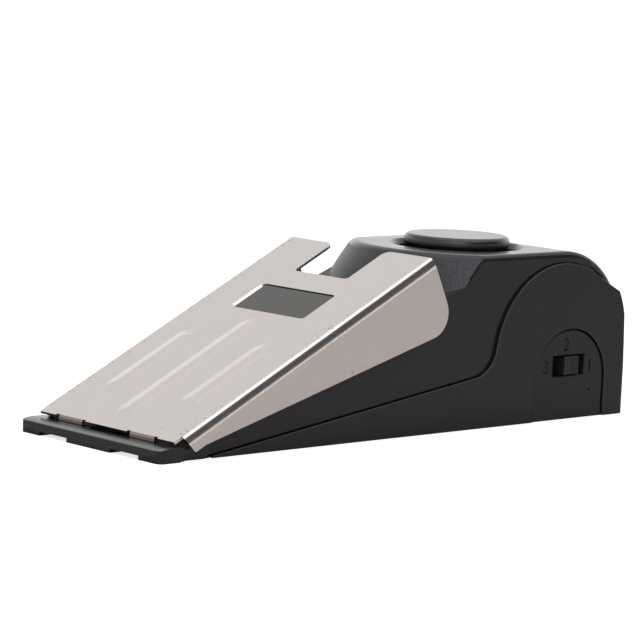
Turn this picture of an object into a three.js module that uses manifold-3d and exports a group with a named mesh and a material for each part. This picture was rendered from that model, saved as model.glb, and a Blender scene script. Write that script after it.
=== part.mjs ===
// Door stop alarm: a plastic wedge with a sprung steel press plate over its ramp, a siren under a
// round cap in its hump, and a slide switch in an arched panel on each side.
// Millimetres, +Z up. The toe of the wedge points to -X, the rear wall to +X.
import * as THREE from 'three';
import { mergeVertices } from 'three/addons/utils/BufferGeometryUtils.js';
import Module from 'manifold-3d';

const wasm = await Module();
wasm.setup();

// Whole object. Lengths along X count from the front edge of the toe.
const LENGTH = 145;
const BODY_WIDTH = 45;
const SHELL_STEP = 0.8;
const WALL = 2;
const FIT_GAP = 0.3;
const CUT_OVERRUN = 20;

// Toe of the wedge
const TOE_FRONT_HEIGHT = 2.7;
const TOE_TOP_HEIGHT = 3.1;
const TOE_TOP_START = 3;
const TOE_FLARE = 0.9;
const TOE_FLARE_END = 5.5;
const TOE_INSET = 0.3;
const TOE_INSET_START = 8;
const TOE_SOLID_LENGTH = 15;
const TOE_CORNER_RADIUS = 1.5;
const TOE_NOTCH_HEIGHT = 0.9;
const TOE_NOTCH_LENGTH = 8;
const TOE_SCOOP_HALF_WIDTH = 7;
const TOE_SCOOP_REACH = 0.9;
const TOE_SCOOP_DEPTH = 1.6;

// Ramp and hump
const RAMP_START_X = 12.6;
const RAMP_END_X = 90;
const RAMP_END_DROP = 6.6;
const REAR_ARC_X = 123.5;
const REAR_ARC_RADIUS = 20;
const HUMP_FRONT_CENTRE_X = 112.3;
const HUMP_FRONT_RADIUS = 27.4;
const HUMP_FRONT_DRAFT_DEG = 31.8;

// Lower shell outline and parting line, seen from the side
const PARTING_START_X = 12.45;
const PARTING_SLOPE_DEG = 8.15;
const ARCH_X = 121.7;
const ARCH_DROP = 24.3;
const ARCH_RADIUS = 21.7;
const ARCH_END_DEG = 63;
const PARTING_FILLET_RADIUS = 7.6;
const LOWER_REAR_ARC_RADIUS = 20.5;
const LOWER_REAR_ARC_START_DEG = 13;
const REAR_CORNER_RADIUS = 1.5;
const FLOOR_THICKNESS = 2.6;
const LIP_HEIGHT = 1.6;
const LIP_THICKNESS = 1.2;
const LIP_START_X = 48.5;
const LIP_END_X = 136;

// Siren well, cap and neck
const SIREN_X = 108.35;
const WELL_RADIUS = 14.6;
const WELL_DEPTH = 6.3;
const WELL_FLOOR_THICKNESS = 1.6;
const SOUND_HOLE_RADIUS = 6;
const CAP_RADIUS = 12.3;
const CAP_FLAT_RADIUS = 11;
const CAP_RISE = 2.4;
const CAP_THICKNESS = 2.7;
const NECK_RADIUS = 8.6;
const NECK_WALL = 1.2;
const NECK_WINDOWS = 8;
const NECK_WINDOW_WIDTH = 4;
const NECK_SILL = 1.2;

// Piezo sounder under the well floor
const CHAMBER_RADIUS = 15.2;
const CHAMBER_WALL = 1.4;
const CHAMBER_LEDGE = 1.4;
const CHAMBER_LEDGE_HEIGHT = 2;
const CHAMBER_HEIGHT = 5.4;
const CHAMBER_CLEARANCE = 3;
const PIEZO_DISC_RADIUS = 13.5;
const PIEZO_DISC_THICKNESS = 0.4;
const PIEZO_CERAMIC_RADIUS = 10;
const PIEZO_CERAMIC_THICKNESS = 0.3;
const GASKET_WIDTH = 1.3;

// Press plate, in its own frame: S along the slope from the front edge, N square to it
const PLATE_FRONT_X = 4.6;
const PLATE_FRONT_HEIGHT = 4.2;
const PLATE_OPEN_DEG = 5.27;
const PLATE_LENGTH = 80.5;
const PLATE_THICKNESS = 0.6;
const PLATE_SIDE_GAP = 0.6;
const PLATE_BEND_RADIUS = 0.9;
const FLANGE_START = 2.2;
const FLANGE_FRONT_DEPTH = 4.25;
const FLANGE_LOW_START = 3.3;
const FLANGE_TAPER_START = 6.5;
const FLANGE_REAR_DEPTH = 17.9;
const FLANGE_CORNER_RADIUS = 5.5;
const WINDOW_START = 49.8;
const WINDOW_LENGTH = 10.7;
const WINDOW_HALF_WIDTH = 11.7;
const WINDOW_CORNER_RADIUS = 0.8;
const PANE_MARGIN = 1;
const PANE_THICKNESS = 1;
const NOTCH_START = 67.3;
const NOTCH_HALF_WIDTH = 8.6;
const NOTCH_CORNER_RADIUS = 1;
const EAR_CORNER_RADIUS = 2;
const BEAD_HALF_WIDTH = 2.2;
const BEAD_HEIGHT = 0.6;
const BEAD_END_SHARE = 0.99;
const MIDDLE_BEAD_START = 4.8;
const MIDDLE_BEAD_END = 46;
const SIDE_BEAD_START = 12.5;
const SIDE_BEAD_END = 38;
const SIDE_BEAD_Y = 12.7;
const TAB_INNER_Y = 7.55;
const TAB_OUTER_Y = 16.25;
const TAB_FOOT_LENGTH = 1.4;
const TAB_FOOT_LIFT = 0.25;
const TAB_SLOT_CLEARANCE = 0.6;

// Plunger, return spring and press switch, on one axis square to the plate
const PLUNGER_S = 43;
const PLUNGER_RADIUS = 1.8;
const PLUNGER_HEAD_RADIUS = 3.4;
const PLUNGER_HEAD_THICKNESS = 0.8;
const PLUNGER_FOOT_RADIUS = 3.1;
const PLUNGER_FOOT_THICKNESS = 0.8;
const PLUNGER_HOLE_RADIUS = 2.6;
const SPRING_CUP_RADIUS = 5.4;
const SPRING_CUP_BORE_RADIUS = 4.1;
const SPRING_CUP_RIM_DEPTH = 6.8;
const SPRING_SEAT_DEPTH = 9.4;
const SPRING_SEAT_THICKNESS = 1.5;
const SPRING_COIL_RADIUS = 3.1;
const SPRING_WIRE = 0.6;
const SPRING_CURLS = 5;
const SPRING_STEPS_PER_CURL = 8;
const SPRING_WIRE_SIDES = 5;
const PLUNGER_TIP_RADIUS = 1.1;
const PLUNGER_TIP_DEPTH = 14.4;
const SWITCH_SIZE = 7.6;
const SWITCH_HEIGHT = 3;
const SWITCH_TOP_DEPTH = 16.1;
const SWITCH_BORE_RADIUS = 2.9;
const SWITCH_BORE_DEPTH = 2.4;
const SWITCH_BOARD_LENGTH = 7.6;
const SWITCH_BOARD_HALF_WIDTH = 11;
const SWITCH_BOSS_RADIUS = 2;
const SWITCH_BOSS_Y = 8;

// Boards, screws and wires
const BOARD_THICKNESS = 1.6;
const SMALL_BOARD_THICKNESS = 1.2;
const MAIN_BOARD_START_X = 92;
const MAIN_BOARD_END_X = 131.3;
const MAIN_BOARD_SIDE_GAP = 2.7;
const MAIN_BOARD_CORNER_RADIUS = 1;
const BATTERY_CLEARANCE = 1.95;
const BOARD_POST_RADIUS = 2.2;
const BOARD_POST_FRONT_X = 95;
const BOARD_POST_REAR_X = 129.8;
const BOARD_POST_FRONT_INSET = 2.6;
const BOARD_POST_REAR_INSET = 3;
const SMALL_SCREW_RADIUS = 0.8;
const SMALL_SCREW_LENGTH = 4;
const SMALL_SCREW_HEAD_RADIUS = 1.5;
const SMALL_SCREW_HEAD_HEIGHT = 0.8;
const HOUSING_SCREW_RADIUS = 1.2;
const HOUSING_SCREW_LENGTH = 8;
const HOUSING_SCREW_HEAD_RADIUS = 2.4;
const HOUSING_SCREW_HEAD_HEIGHT = 1.4;
const HOUSING_BOSS_RADIUS = 2.8;
const HOUSING_BOSS_HEIGHT = 5;
const HOUSING_SCREW_RECESS = 1;
const HOUSING_SCREW_FRONT_X = 44;
const HOUSING_SCREW_REAR_X = 134.4;
const HOUSING_SCREW_FRONT_INSET = 3.7;
const HOUSING_SCREW_REAR_Y = 9;
const WIRE_RADIUS = 0.6;
const WIRE_SIDES = 8;
const LEAD_Y = 8.5;
const LEAD_BEND = 4;
const PIEZO_WIRE_RADIUS = 0.4;
const PIEZO_LEAD_Y = 4;
const SWITCH_LEAD_BEND = 5;

// Battery, its snap and its door
const BATTERY_START_X = 64.5;
const BATTERY_LENGTH = 48.5;
const BATTERY_WIDTH = 26.5;
const BATTERY_HEIGHT = 17.5;
const BATTERY_BASE_HEIGHT = 1.95;
const BATTERY_CORNER_RADIUS = 1.5;
const TERMINAL_Y = 6.35;
const TERMINAL_LENGTH = 3;
const TERMINAL_PLUS_RADIUS = 2.8;
const TERMINAL_MINUS_RADIUS = 3.8;
const SNAP_THICKNESS = 4.2;
const SNAP_WIDTH = 23;
const SNAP_HEIGHT = 12;
const CRADLE_WALL = 1.2;
const CRADLE_HEIGHT = 6;
const CRADLE_STOP_HALF_WIDTH = 6;
const DOOR_THICKNESS = 1.4;
const DOOR_RECESS_DEPTH = 1.9;
const DOOR_BASE_HEIGHT = 0.25;
const DOOR_OVERLAP = 1.2;
const DOOR_TRAVEL = 4;
const DOOR_TONGUES = 3;
const DOOR_TONGUE_LENGTH = 3.6;
const DOOR_TONGUE_PROUD = 1.2;
const DOOR_TONGUE_THICKNESS = 0.8;
const DOOR_GRIP_RIBS = 5;
const DOOR_GRIP_PITCH = 2.4;
const DOOR_GRIP_WIDTH = 1;
const DOOR_GRIP_LENGTH = 14;
const DOOR_GRIP_DEPTH = 0.5;

// Rubber pads under the floor
const PAD_THICKNESS = 1.2;
const PAD_CORNER_RADIUS = 3;
const FRONT_PAD_START_X = 22;
const FRONT_PAD_END_X = 54;
const FRONT_PAD_INSET = 4;
const REAR_PAD_DOOR_GAP = 5;
const REAR_PAD_SCREW_GAP = 3.4;
const REAR_PAD_INSET = 4.5;

// Arched switch panel on each side, its slide knob, switch and small board
const PANEL_X = 125.25;
const PANEL_RADIUS = 11.8;
const PANEL_ARCH_HEIGHT = 9.2;
const PANEL_GROOVE = 0.4;
const PANEL_RECESS = 0.35;
const PANEL_FLANGE = 1.8;
const PANEL_FLANGE_THICKNESS = 1.2;
const SLOT_X = 125.05;
const SLOT_HEIGHT = 12.65;
const SLOT_LENGTH = 10.8;
const SLOT_WIDTH = 4.9;
const KNOB_LENGTH = 4.9;
const KNOB_WIDTH = 4.3;
const KNOB_PROUD = 1;
const KNOB_BASE_LENGTH = 12.4;
const KNOB_BASE_WIDTH = 6.4;
const KNOB_BASE_THICKNESS = 0.7;
const KNOB_GRIP_RADIUS = 2.6;
const KNOB_GRIP_DEPTH = 0.7;
const LEVER_LENGTH = 2;
const LEVER_WIDTH = 1.5;
const LEVER_REACH = 1.6;
const SLIDER_TRAVEL = 2.5;
const SLIDE_SWITCH_LENGTH = 8.6;
const SLIDE_SWITCH_WIDTH = 4.6;
const SLIDE_SWITCH_DEPTH = 2.5;
const SIDE_BOARD_START_X = 119.3;
const SIDE_BOARD_END_X = 127.7;
const SIDE_BOARD_BASE_HEIGHT = 8;

// Parts on the main board
const CHIP_LENGTH = 5;
const CHIP_WIDTH = 4;
const CHIP_HEIGHT = 1.6;
const CHIP_X = 104;
const CHIP_Y = 7;
const COIL_RADIUS = 3.6;
const COIL_HEIGHT = 8;
const COIL_FLANGE = 0.8;
const COIL_X = 127.6;
const COIL_Y = -6.5;
const CAPACITOR_RADIUS = 2.5;
const CAPACITOR_HEIGHT = 9;
const CAPACITOR_X = 127.4;
const CAPACITOR_Y = 1;
const SENSOR_RADIUS = 2.4;
const SENSOR_HEIGHT = 9.5;
const SENSOR_X = 127.8;
const SENSOR_Y = 7;
const TRANSISTOR_RADIUS = 2.3;
const TRANSISTOR_FLAT_SHARE = 0.55;
const TRANSISTOR_HEIGHT = 4.6;
const TRANSISTOR_X = 123.5;
const TRANSISTOR_Y = -11.5;

// How finely round shapes are faceted
const ARC_STEPS = 6;
const LONG_ARC_STEPS = 18;
const ROUND_SIDES = 24;
const WIDE_ROUND_SIDES = 48;
const HUMP_SIDES = 96;

// Sizes that follow from those above
const SKIRT_HALF_WIDTH = BODY_WIDTH / 2;
const SHELL_HALF_WIDTH = SKIRT_HALF_WIDTH - SHELL_STEP;
const SHELL_INNER_HALF = SHELL_HALF_WIDTH - WALL;
const SKIRT_INNER_HALF = SKIRT_HALF_WIDTH - WALL;
const TOE_HALF_WIDTH = SKIRT_HALF_WIDTH + TOE_FLARE;
const TOE_INSET_HALF_WIDTH = SKIRT_HALF_WIDTH - TOE_INSET;
const PLATE_HALF_WIDTH = SKIRT_HALF_WIDTH + PLATE_SIDE_GAP + PLATE_THICKNESS;
const MAIN_BOARD_HALF_WIDTH = SHELL_INNER_HALF - MAIN_BOARD_SIDE_GAP;
const BOARD_POST_FRONT_Y = MAIN_BOARD_HALF_WIDTH - BOARD_POST_FRONT_INSET;
const BOARD_POST_REAR_Y = MAIN_BOARD_HALF_WIDTH - BOARD_POST_REAR_INSET;
const HOUSING_SCREW_FRONT_Y = SHELL_INNER_HALF - HOUSING_SCREW_FRONT_INSET;
const FRONT_PAD_HALF_WIDTH = HOUSING_SCREW_FRONT_Y - FRONT_PAD_INSET;
const REAR_PAD_HALF_WIDTH = SKIRT_INNER_HALF - REAR_PAD_INSET;
const MAIN_BOARD_HEIGHT = BATTERY_BASE_HEIGHT + BATTERY_HEIGHT + BATTERY_CLEARANCE;
const BOARD_TOP = MAIN_BOARD_HEIGHT + BOARD_THICKNESS;
const CHAMBER_BASE = BOARD_TOP + CHAMBER_CLEARANCE;
const WELL_FLOOR_BASE = CHAMBER_BASE + CHAMBER_HEIGHT;
const WELL_FLOOR_HEIGHT = WELL_FLOOR_BASE + WELL_FLOOR_THICKNESS;
const TOP_HEIGHT = WELL_FLOOR_HEIGHT + WELL_DEPTH;
const CAP_TOP_HEIGHT = TOP_HEIGHT + CAP_RISE;
const RAMP_END_HEIGHT = TOP_HEIGHT - RAMP_END_DROP;
const ARCH_HEIGHT = TOP_HEIGHT - ARCH_DROP;
const REAR_ARC_HEIGHT = TOP_HEIGHT - REAR_ARC_RADIUS;
const RAMP_RATIO = (RAMP_END_HEIGHT - TOE_TOP_HEIGHT) / (RAMP_END_X - RAMP_START_X);
const RAMP_WALL_DROP = WALL * Math.hypot(1, RAMP_RATIO);
const PLATE_SLOPE_DEG = THREE.MathUtils.radToDeg(Math.atan(RAMP_RATIO)) + PLATE_OPEN_DEG;
const DRAFT_RATIO = Math.tan(radians(HUMP_FRONT_DRAFT_DEG));
const DRAFT_WALL = WALL * Math.hypot(1, DRAFT_RATIO);
const DISC_BASE = CHAMBER_BASE + CHAMBER_LEDGE_HEIGHT;
const DISC_TOP = DISC_BASE + PIEZO_DISC_THICKNESS;
const CAP_BASE = CAP_TOP_HEIGHT - CAP_THICKNESS;
const BATTERY_END_X = BATTERY_START_X + BATTERY_LENGTH;
const BATTERY_MIDDLE_HEIGHT = BATTERY_BASE_HEIGHT + BATTERY_HEIGHT / 2;
const SNAP_START_X = BATTERY_END_X + FIT_GAP;
const SNAP_END_X = SNAP_START_X + SNAP_THICKNESS;
const BAY_HALF_WIDTH = BATTERY_WIDTH / 2 + FIT_GAP;
const DOOR_START_X = BATTERY_START_X - FIT_GAP - DOOR_OVERLAP;
const DOOR_END_X = BATTERY_END_X + FIT_GAP + DOOR_OVERLAP;
const DOOR_HALF_WIDTH = BAY_HALF_WIDTH + DOOR_OVERLAP;
const REAR_PAD_START_X = DOOR_END_X + REAR_PAD_DOOR_GAP;
const REAR_PAD_END_X = HOUSING_SCREW_REAR_X - REAR_PAD_SCREW_GAP;
const PANEL_FACE_Y = SKIRT_HALF_WIDTH - PANEL_RECESS;
const PANEL_FLANGE_OUTER_Y = SKIRT_INNER_HALF - FIT_GAP;
const PANEL_FLANGE_INNER_Y = PANEL_FLANGE_OUTER_Y - PANEL_FLANGE_THICKNESS;
const KNOB_BASE_OUTER_Y = PANEL_FLANGE_INNER_Y - FIT_GAP;
const KNOB_BASE_INNER_Y = KNOB_BASE_OUTER_Y - KNOB_BASE_THICKNESS;
const SLIDE_SWITCH_OUTER_Y = KNOB_BASE_INNER_Y - FIT_GAP;
const SLIDE_SWITCH_INNER_Y = SLIDE_SWITCH_OUTER_Y - SLIDE_SWITCH_DEPTH;
const SIDE_BOARD_INNER_Y = SLIDE_SWITCH_INNER_Y - SMALL_BOARD_THICKNESS;
const SPRING_START_DEPTH = PLATE_THICKNESS + FIT_GAP + PLUNGER_HEAD_THICKNESS + FIT_GAP;
const SPRING_END_DEPTH = SPRING_SEAT_DEPTH - FIT_GAP;
const SPRING_SEAT_BASE = SPRING_SEAT_DEPTH + SPRING_SEAT_THICKNESS;
const FOOT_START_DEPTH = SPRING_SEAT_BASE + FIT_GAP;
const FOOT_END_DEPTH = FOOT_START_DEPTH + PLUNGER_FOOT_THICKNESS;
const SWITCH_BASE_DEPTH = SWITCH_TOP_DEPTH + SWITCH_HEIGHT;
const SWITCH_BOARD_TOP_DEPTH = SWITCH_BASE_DEPTH + FIT_GAP;
const SWITCH_BOARD_BASE_DEPTH = SWITCH_BOARD_TOP_DEPTH + SMALL_BOARD_THICKNESS;

function radians(degrees) {
  return degrees * Math.PI / 180;
}

// Closed solid from a three.js geometry, with its faces turned out
function solid(geometry) {
  const bare = geometry.clone();
  for (const name of Object.keys(bare.attributes)) {
    if (name !== 'position') bare.deleteAttribute(name);
  }
  const merged = mergeVertices(bare);
  const corners = merged.getAttribute('position');
  const index = merged.getIndex().array;
  const faces = [];
  let volume = 0;
  const [a, b, c] = [new THREE.Vector3(), new THREE.Vector3(), new THREE.Vector3()];
  for (let i = 0; i < index.length; i += 3) {
    const [p, q, r] = [index[i], index[i + 1], index[i + 2]];
    if (p === q || q === r || r === p) continue;
    faces.push([p, q, r]);
    a.fromBufferAttribute(corners, p);
    b.fromBufferAttribute(corners, q);
    c.fromBufferAttribute(corners, r);
    volume += a.dot(b.cross(c));
  }
  const triVerts = new Uint32Array(faces.flatMap(([p, q, r]) => (volume < 0 ? [p, r, q] : [p, q, r])));
  const vertProperties = new Float32Array(corners.array);
  return new wasm.Manifold(new wasm.Mesh({ numProp: 3, vertProperties, triVerts }));
}

function joined(...solids) {
  return solids.reduce((whole, piece) => whole.add(piece));
}

function cutBy(whole, ...cutters) {
  return cutters.reduce((left, cutter) => left.subtract(cutter), whole);
}

// Points of an arc, its ends included
function arc(x, y, radius, startDeg, endDeg, steps = ARC_STEPS) {
  return Array.from({ length: steps + 1 }, (_, i) => {
    const angle = radians(startDeg + (endDeg - startDeg) * i / steps);
    return [x + radius * Math.cos(angle), y + radius * Math.sin(angle)];
  });
}

// Outline through corners given as [x, y] or as [x, y, radius] where the corner is rounded
function outline(corners) {
  const points = [];
  corners.forEach(([x, y, radius], i) => {
    if (!radius) {
      points.push(new THREE.Vector2(x, y));
      return;
    }
    const corner = new THREE.Vector2(x, y);
    const before = corners[(i + corners.length - 1) % corners.length];
    const after = corners[(i + 1) % corners.length];
    const back = new THREE.Vector2(before[0], before[1]).sub(corner).normalize();
    const ahead = new THREE.Vector2(after[0], after[1]).sub(corner).normalize();
    const half = Math.acos(back.dot(ahead)) / 2;
    const centre = back.clone().add(ahead).normalize().multiplyScalar(radius / Math.sin(half)).add(corner);
    const start = back.clone().multiplyScalar(radius / Math.tan(half)).add(corner).sub(centre).angle();
    const end = ahead.clone().multiplyScalar(radius / Math.tan(half)).add(corner).sub(centre).angle();
    const turn = Math.atan2(Math.sin(end - start), Math.cos(end - start));
    for (let step = 0; step <= ARC_STEPS; step += 1) {
      const angle = start + turn * step / ARC_STEPS;
      points.push(new THREE.Vector2(Math.cos(angle), Math.sin(angle)).multiplyScalar(radius).add(centre));
    }
  });
  return new THREE.Shape(points);
}

// Outline drawn in X and Z, pushed along Y
function sidePrism(corners, lowY, highY) {
  const geometry = new THREE.ExtrudeGeometry(
    outline(corners), { depth: highY - lowY, bevelEnabled: false },
  );
  geometry.rotateX(radians(90));
  geometry.translate(0, highY, 0);
  return solid(geometry);
}

// Outline drawn in X and Y, pushed up along Z
function planPrism(corners, lowZ, highZ) {
  const geometry = new THREE.ExtrudeGeometry(
    outline(corners), { depth: highZ - lowZ, bevelEnabled: false },
  );
  geometry.translate(0, 0, lowZ);
  return solid(geometry);
}

// Outline drawn in Y and Z, pushed along X
function frontPrism(corners, lowX, highX) {
  const geometry = new THREE.ExtrudeGeometry(
    outline(corners), { depth: highX - lowX, bevelEnabled: false },
  );
  const turn = new THREE.Matrix4();
  turn.makeBasis(new THREE.Vector3(0, 1, 0), new THREE.Vector3(0, 0, 1), new THREE.Vector3(1, 0, 0));
  geometry.applyMatrix4(turn);
  geometry.translate(lowX, 0, 0);
  return solid(geometry);
}

function block(lowX, highX, lowY, highY, lowZ, highZ) {
  const geometry = new THREE.BoxGeometry(highX - lowX, highY - lowY, highZ - lowZ);
  geometry.translate((lowX + highX) / 2, (lowY + highY) / 2, (lowZ + highZ) / 2);
  return solid(geometry);
}

// Solid of revolution about an upright axis; the profile is a list of [radius, height]
function turned(profile, x, y, sides = ROUND_SIDES) {
  const geometry = new THREE.LatheGeometry(profile.map(([r, z]) => new THREE.Vector2(r, z)), sides);
  geometry.rotateX(radians(90));
  geometry.translate(x, y, 0);
  return solid(geometry);
}

function drum(x, y, radius, lowZ, highZ, sides = ROUND_SIDES) {
  return turned([[0, lowZ], [radius, lowZ], [radius, highZ], [0, highZ]], x, y, sides);
}

function ring(x, y, innerRadius, radius, lowZ, highZ, sides = ROUND_SIDES) {
  const profile = [[innerRadius, lowZ], [radius, lowZ], [radius, highZ], [innerRadius, highZ]];
  return turned([...profile, profile[0]], x, y, sides);
}

function rectangle(lowX, highX, lowY, highY, radius) {
  return [[lowX, lowY, radius], [highX, lowY, radius], [highX, highY, radius], [lowX, highY, radius]];
}

function geometryOf(piece) {
  const mesh = piece.getMesh();
  const geometry = new THREE.BufferGeometry();
  geometry.setAttribute(
    'position',
    new THREE.BufferAttribute(new Float32Array(mesh.vertProperties), mesh.numProp),
  );
  geometry.setIndex(new THREE.BufferAttribute(new Uint32Array(mesh.triVerts), 1));
  return geometry;
}

// Moves a solid drawn in the plate's own frame (S, Y, N) to its place over the ramp
function onPlate(piece) {
  const place = new THREE.Matrix4().makeRotationY(-radians(PLATE_SLOPE_DEG));
  place.setPosition(PLATE_FRONT_X, 0, PLATE_FRONT_HEIGHT);
  return solid(geometryOf(piece).applyMatrix4(place));
}

function plateDrum(s, y, radius, depthBelow, depthAbove, sides) {
  return onPlate(drum(s, y, radius, -depthBelow, -depthAbove, sides));
}

// Round wire or tube along points given as [x, y, z]
function tube(points, radius, sides, stepsPerPoint) {
  const corners = arc(0, 0, radius, 0, 360, sides).slice(1);
  const section = new THREE.Shape(corners.map(([x, y]) => new THREE.Vector2(x, y)));
  const path = new THREE.CatmullRomCurve3(points.map(([x, y, z]) => new THREE.Vector3(x, y, z)));
  const steps = (points.length - 1) * stepsPerPoint;
  return solid(new THREE.ExtrudeGeometry(section, { steps, bevelEnabled: false, extrudePath: path }));
}

// The S-shaped parting line between the two shells, shifted outwards by an offset. A straight rise,
// a hollow fillet, the arch over the switch panel and a straight fall to the rear.
function partingCurve(offset) {
  const slope = radians(PARTING_SLOPE_DEG);
  const along = new THREE.Vector2(Math.cos(slope), Math.sin(slope));
  const across = new THREE.Vector2(-along.y, along.x);
  const start = new THREE.Vector2(PARTING_START_X, 0);
  const arch = new THREE.Vector2(ARCH_X, ARCH_HEIGHT);
  const reach = arch.clone().sub(start);
  const lift = reach.dot(across) - PARTING_FILLET_RADIUS;
  const run = reach.dot(along) - Math.sqrt((ARCH_RADIUS + PARTING_FILLET_RADIUS) ** 2 - lift ** 2);
  const fillet = start.clone().addScaledVector(along, run).addScaledVector(across, PARTING_FILLET_RADIUS);
  const touchDeg = THREE.MathUtils.radToDeg(Math.atan2(arch.y - fillet.y, arch.x - fillet.x));
  const end = arch.clone().addScaledVector(unit(ARCH_END_DEG), ARCH_RADIUS + offset);
  const fall = (LENGTH + CUT_OVERRUN - end.x) / Math.tan(radians(ARCH_END_DEG));
  return [
    [start.x + across.x * offset, start.y + across.y * offset],
    ...arc(fillet.x, fillet.y, PARTING_FILLET_RADIUS - offset, PARTING_SLOPE_DEG - 90, touchDeg),
    ...arc(arch.x, arch.y, ARCH_RADIUS + offset, 180 + touchDeg, ARCH_END_DEG, LONG_ARC_STEPS).slice(1),
    [LENGTH + CUT_OVERRUN, end.y - fall],
  ];
}

function unit(degrees) {
  return new THREE.Vector2(Math.cos(radians(degrees)), Math.sin(radians(degrees)));
}

function belowParting(offset, startX, lowY, highY) {
  const curve = partingCurve(offset).filter(([x]) => x > startX);
  const startZ = (startX - PARTING_START_X) * Math.tan(radians(PARTING_SLOPE_DEG))
    + offset / Math.cos(radians(PARTING_SLOPE_DEG));
  const bottom = -CUT_OVERRUN;
  const points = [[startX, bottom], [startX, startZ], ...curve, [LENGTH + CUT_OVERRUN, bottom]];
  return sidePrism(points, lowY, highY);
}

function rampHeight(x) {
  return TOE_TOP_HEIGHT + (x - RAMP_START_X) * RAMP_RATIO;
}

// Outer form of the shells' wedge and hump; inset is how far inside the skin the form lies
function wedgeForm(inset, halfWidth, startX) {
  const drop = inset / WALL * RAMP_WALL_DROP;
  const rear = REAR_ARC_X + REAR_ARC_RADIUS;
  const humpStart = HUMP_FRONT_CENTRE_X - HUMP_FRONT_RADIUS * 2;
  const toe = inset > 0
    ? [[startX, -inset], [startX, rampHeight(startX) - drop]]
    : [[0, 0], [0, TOE_FRONT_HEIGHT], [TOE_TOP_START, TOE_TOP_HEIGHT], [RAMP_START_X, TOE_TOP_HEIGHT]];
  const ramp = [
    ...toe,
    [RAMP_END_X, RAMP_END_HEIGHT - drop],
    [REAR_ARC_X, RAMP_END_HEIGHT - drop],
    [REAR_ARC_X, -inset],
  ];
  const hump = [
    [humpStart, -inset],
    [humpStart, TOP_HEIGHT - inset],
    ...arc(REAR_ARC_X, REAR_ARC_HEIGHT, REAR_ARC_RADIUS - inset, 90, 0, LONG_ARC_STEPS),
    [rear - inset, -inset],
  ];
  const shift = inset / WALL * DRAFT_WALL;
  const radiusAt = (z) => HUMP_FRONT_RADIUS + (TOP_HEIGHT - z) * DRAFT_RATIO - shift;
  const front = turned(
    [[0, 0], [radiusAt(0), 0], [radiusAt(TOP_HEIGHT), TOP_HEIGHT], [0, TOP_HEIGHT]],
    HUMP_FRONT_CENTRE_X,
    0,
    HUMP_SIDES,
  );
  const behind = block(HUMP_FRONT_CENTRE_X, LENGTH, -BODY_WIDTH, BODY_WIDTH, -WALL, TOP_HEIGHT);
  const humpSolid = sidePrism(hump, -halfWidth, halfWidth).intersect(front.add(behind));
  return sidePrism(ramp, -halfWidth, halfWidth).add(humpSolid);
}

// Plan outline: the toe flares in front of the plate's sides, and is drawn in where they pass it
function upperPlan() {
  const neckX = TOE_SOLID_LENGTH;
  const rear = REAR_ARC_X + REAR_ARC_RADIUS + FIT_GAP;
  const half = [
    [0, TOE_HALF_WIDTH, TOE_CORNER_RADIUS],
    [TOE_FLARE_END, TOE_HALF_WIDTH],
    [TOE_INSET_START, TOE_INSET_HALF_WIDTH],
    [neckX - WALL, TOE_INSET_HALF_WIDTH],
    [neckX, SHELL_HALF_WIDTH],
    [rear, SHELL_HALF_WIDTH, REAR_CORNER_RADIUS],
  ];
  const mirrored = half.map(([x, y, radius]) => [x, -y, radius]);
  return planPrism([...mirrored, ...[...half].reverse()], -WALL, TOP_HEIGHT + WALL);
}

// Posts that the board screws and housing screws bite into
const boardPosts = [
  [BOARD_POST_FRONT_X, -BOARD_POST_FRONT_Y], [BOARD_POST_FRONT_X, BOARD_POST_FRONT_Y],
  [BOARD_POST_REAR_X, -BOARD_POST_REAR_Y], [BOARD_POST_REAR_X, BOARD_POST_REAR_Y],
];
const housingPosts = [
  [HOUSING_SCREW_FRONT_X, -HOUSING_SCREW_FRONT_Y], [HOUSING_SCREW_FRONT_X, HOUSING_SCREW_FRONT_Y],
  [HOUSING_SCREW_REAR_X, -HOUSING_SCREW_REAR_Y], [HOUSING_SCREW_REAR_X, HOUSING_SCREW_REAR_Y],
];
const sides = [-1, 1];

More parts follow.
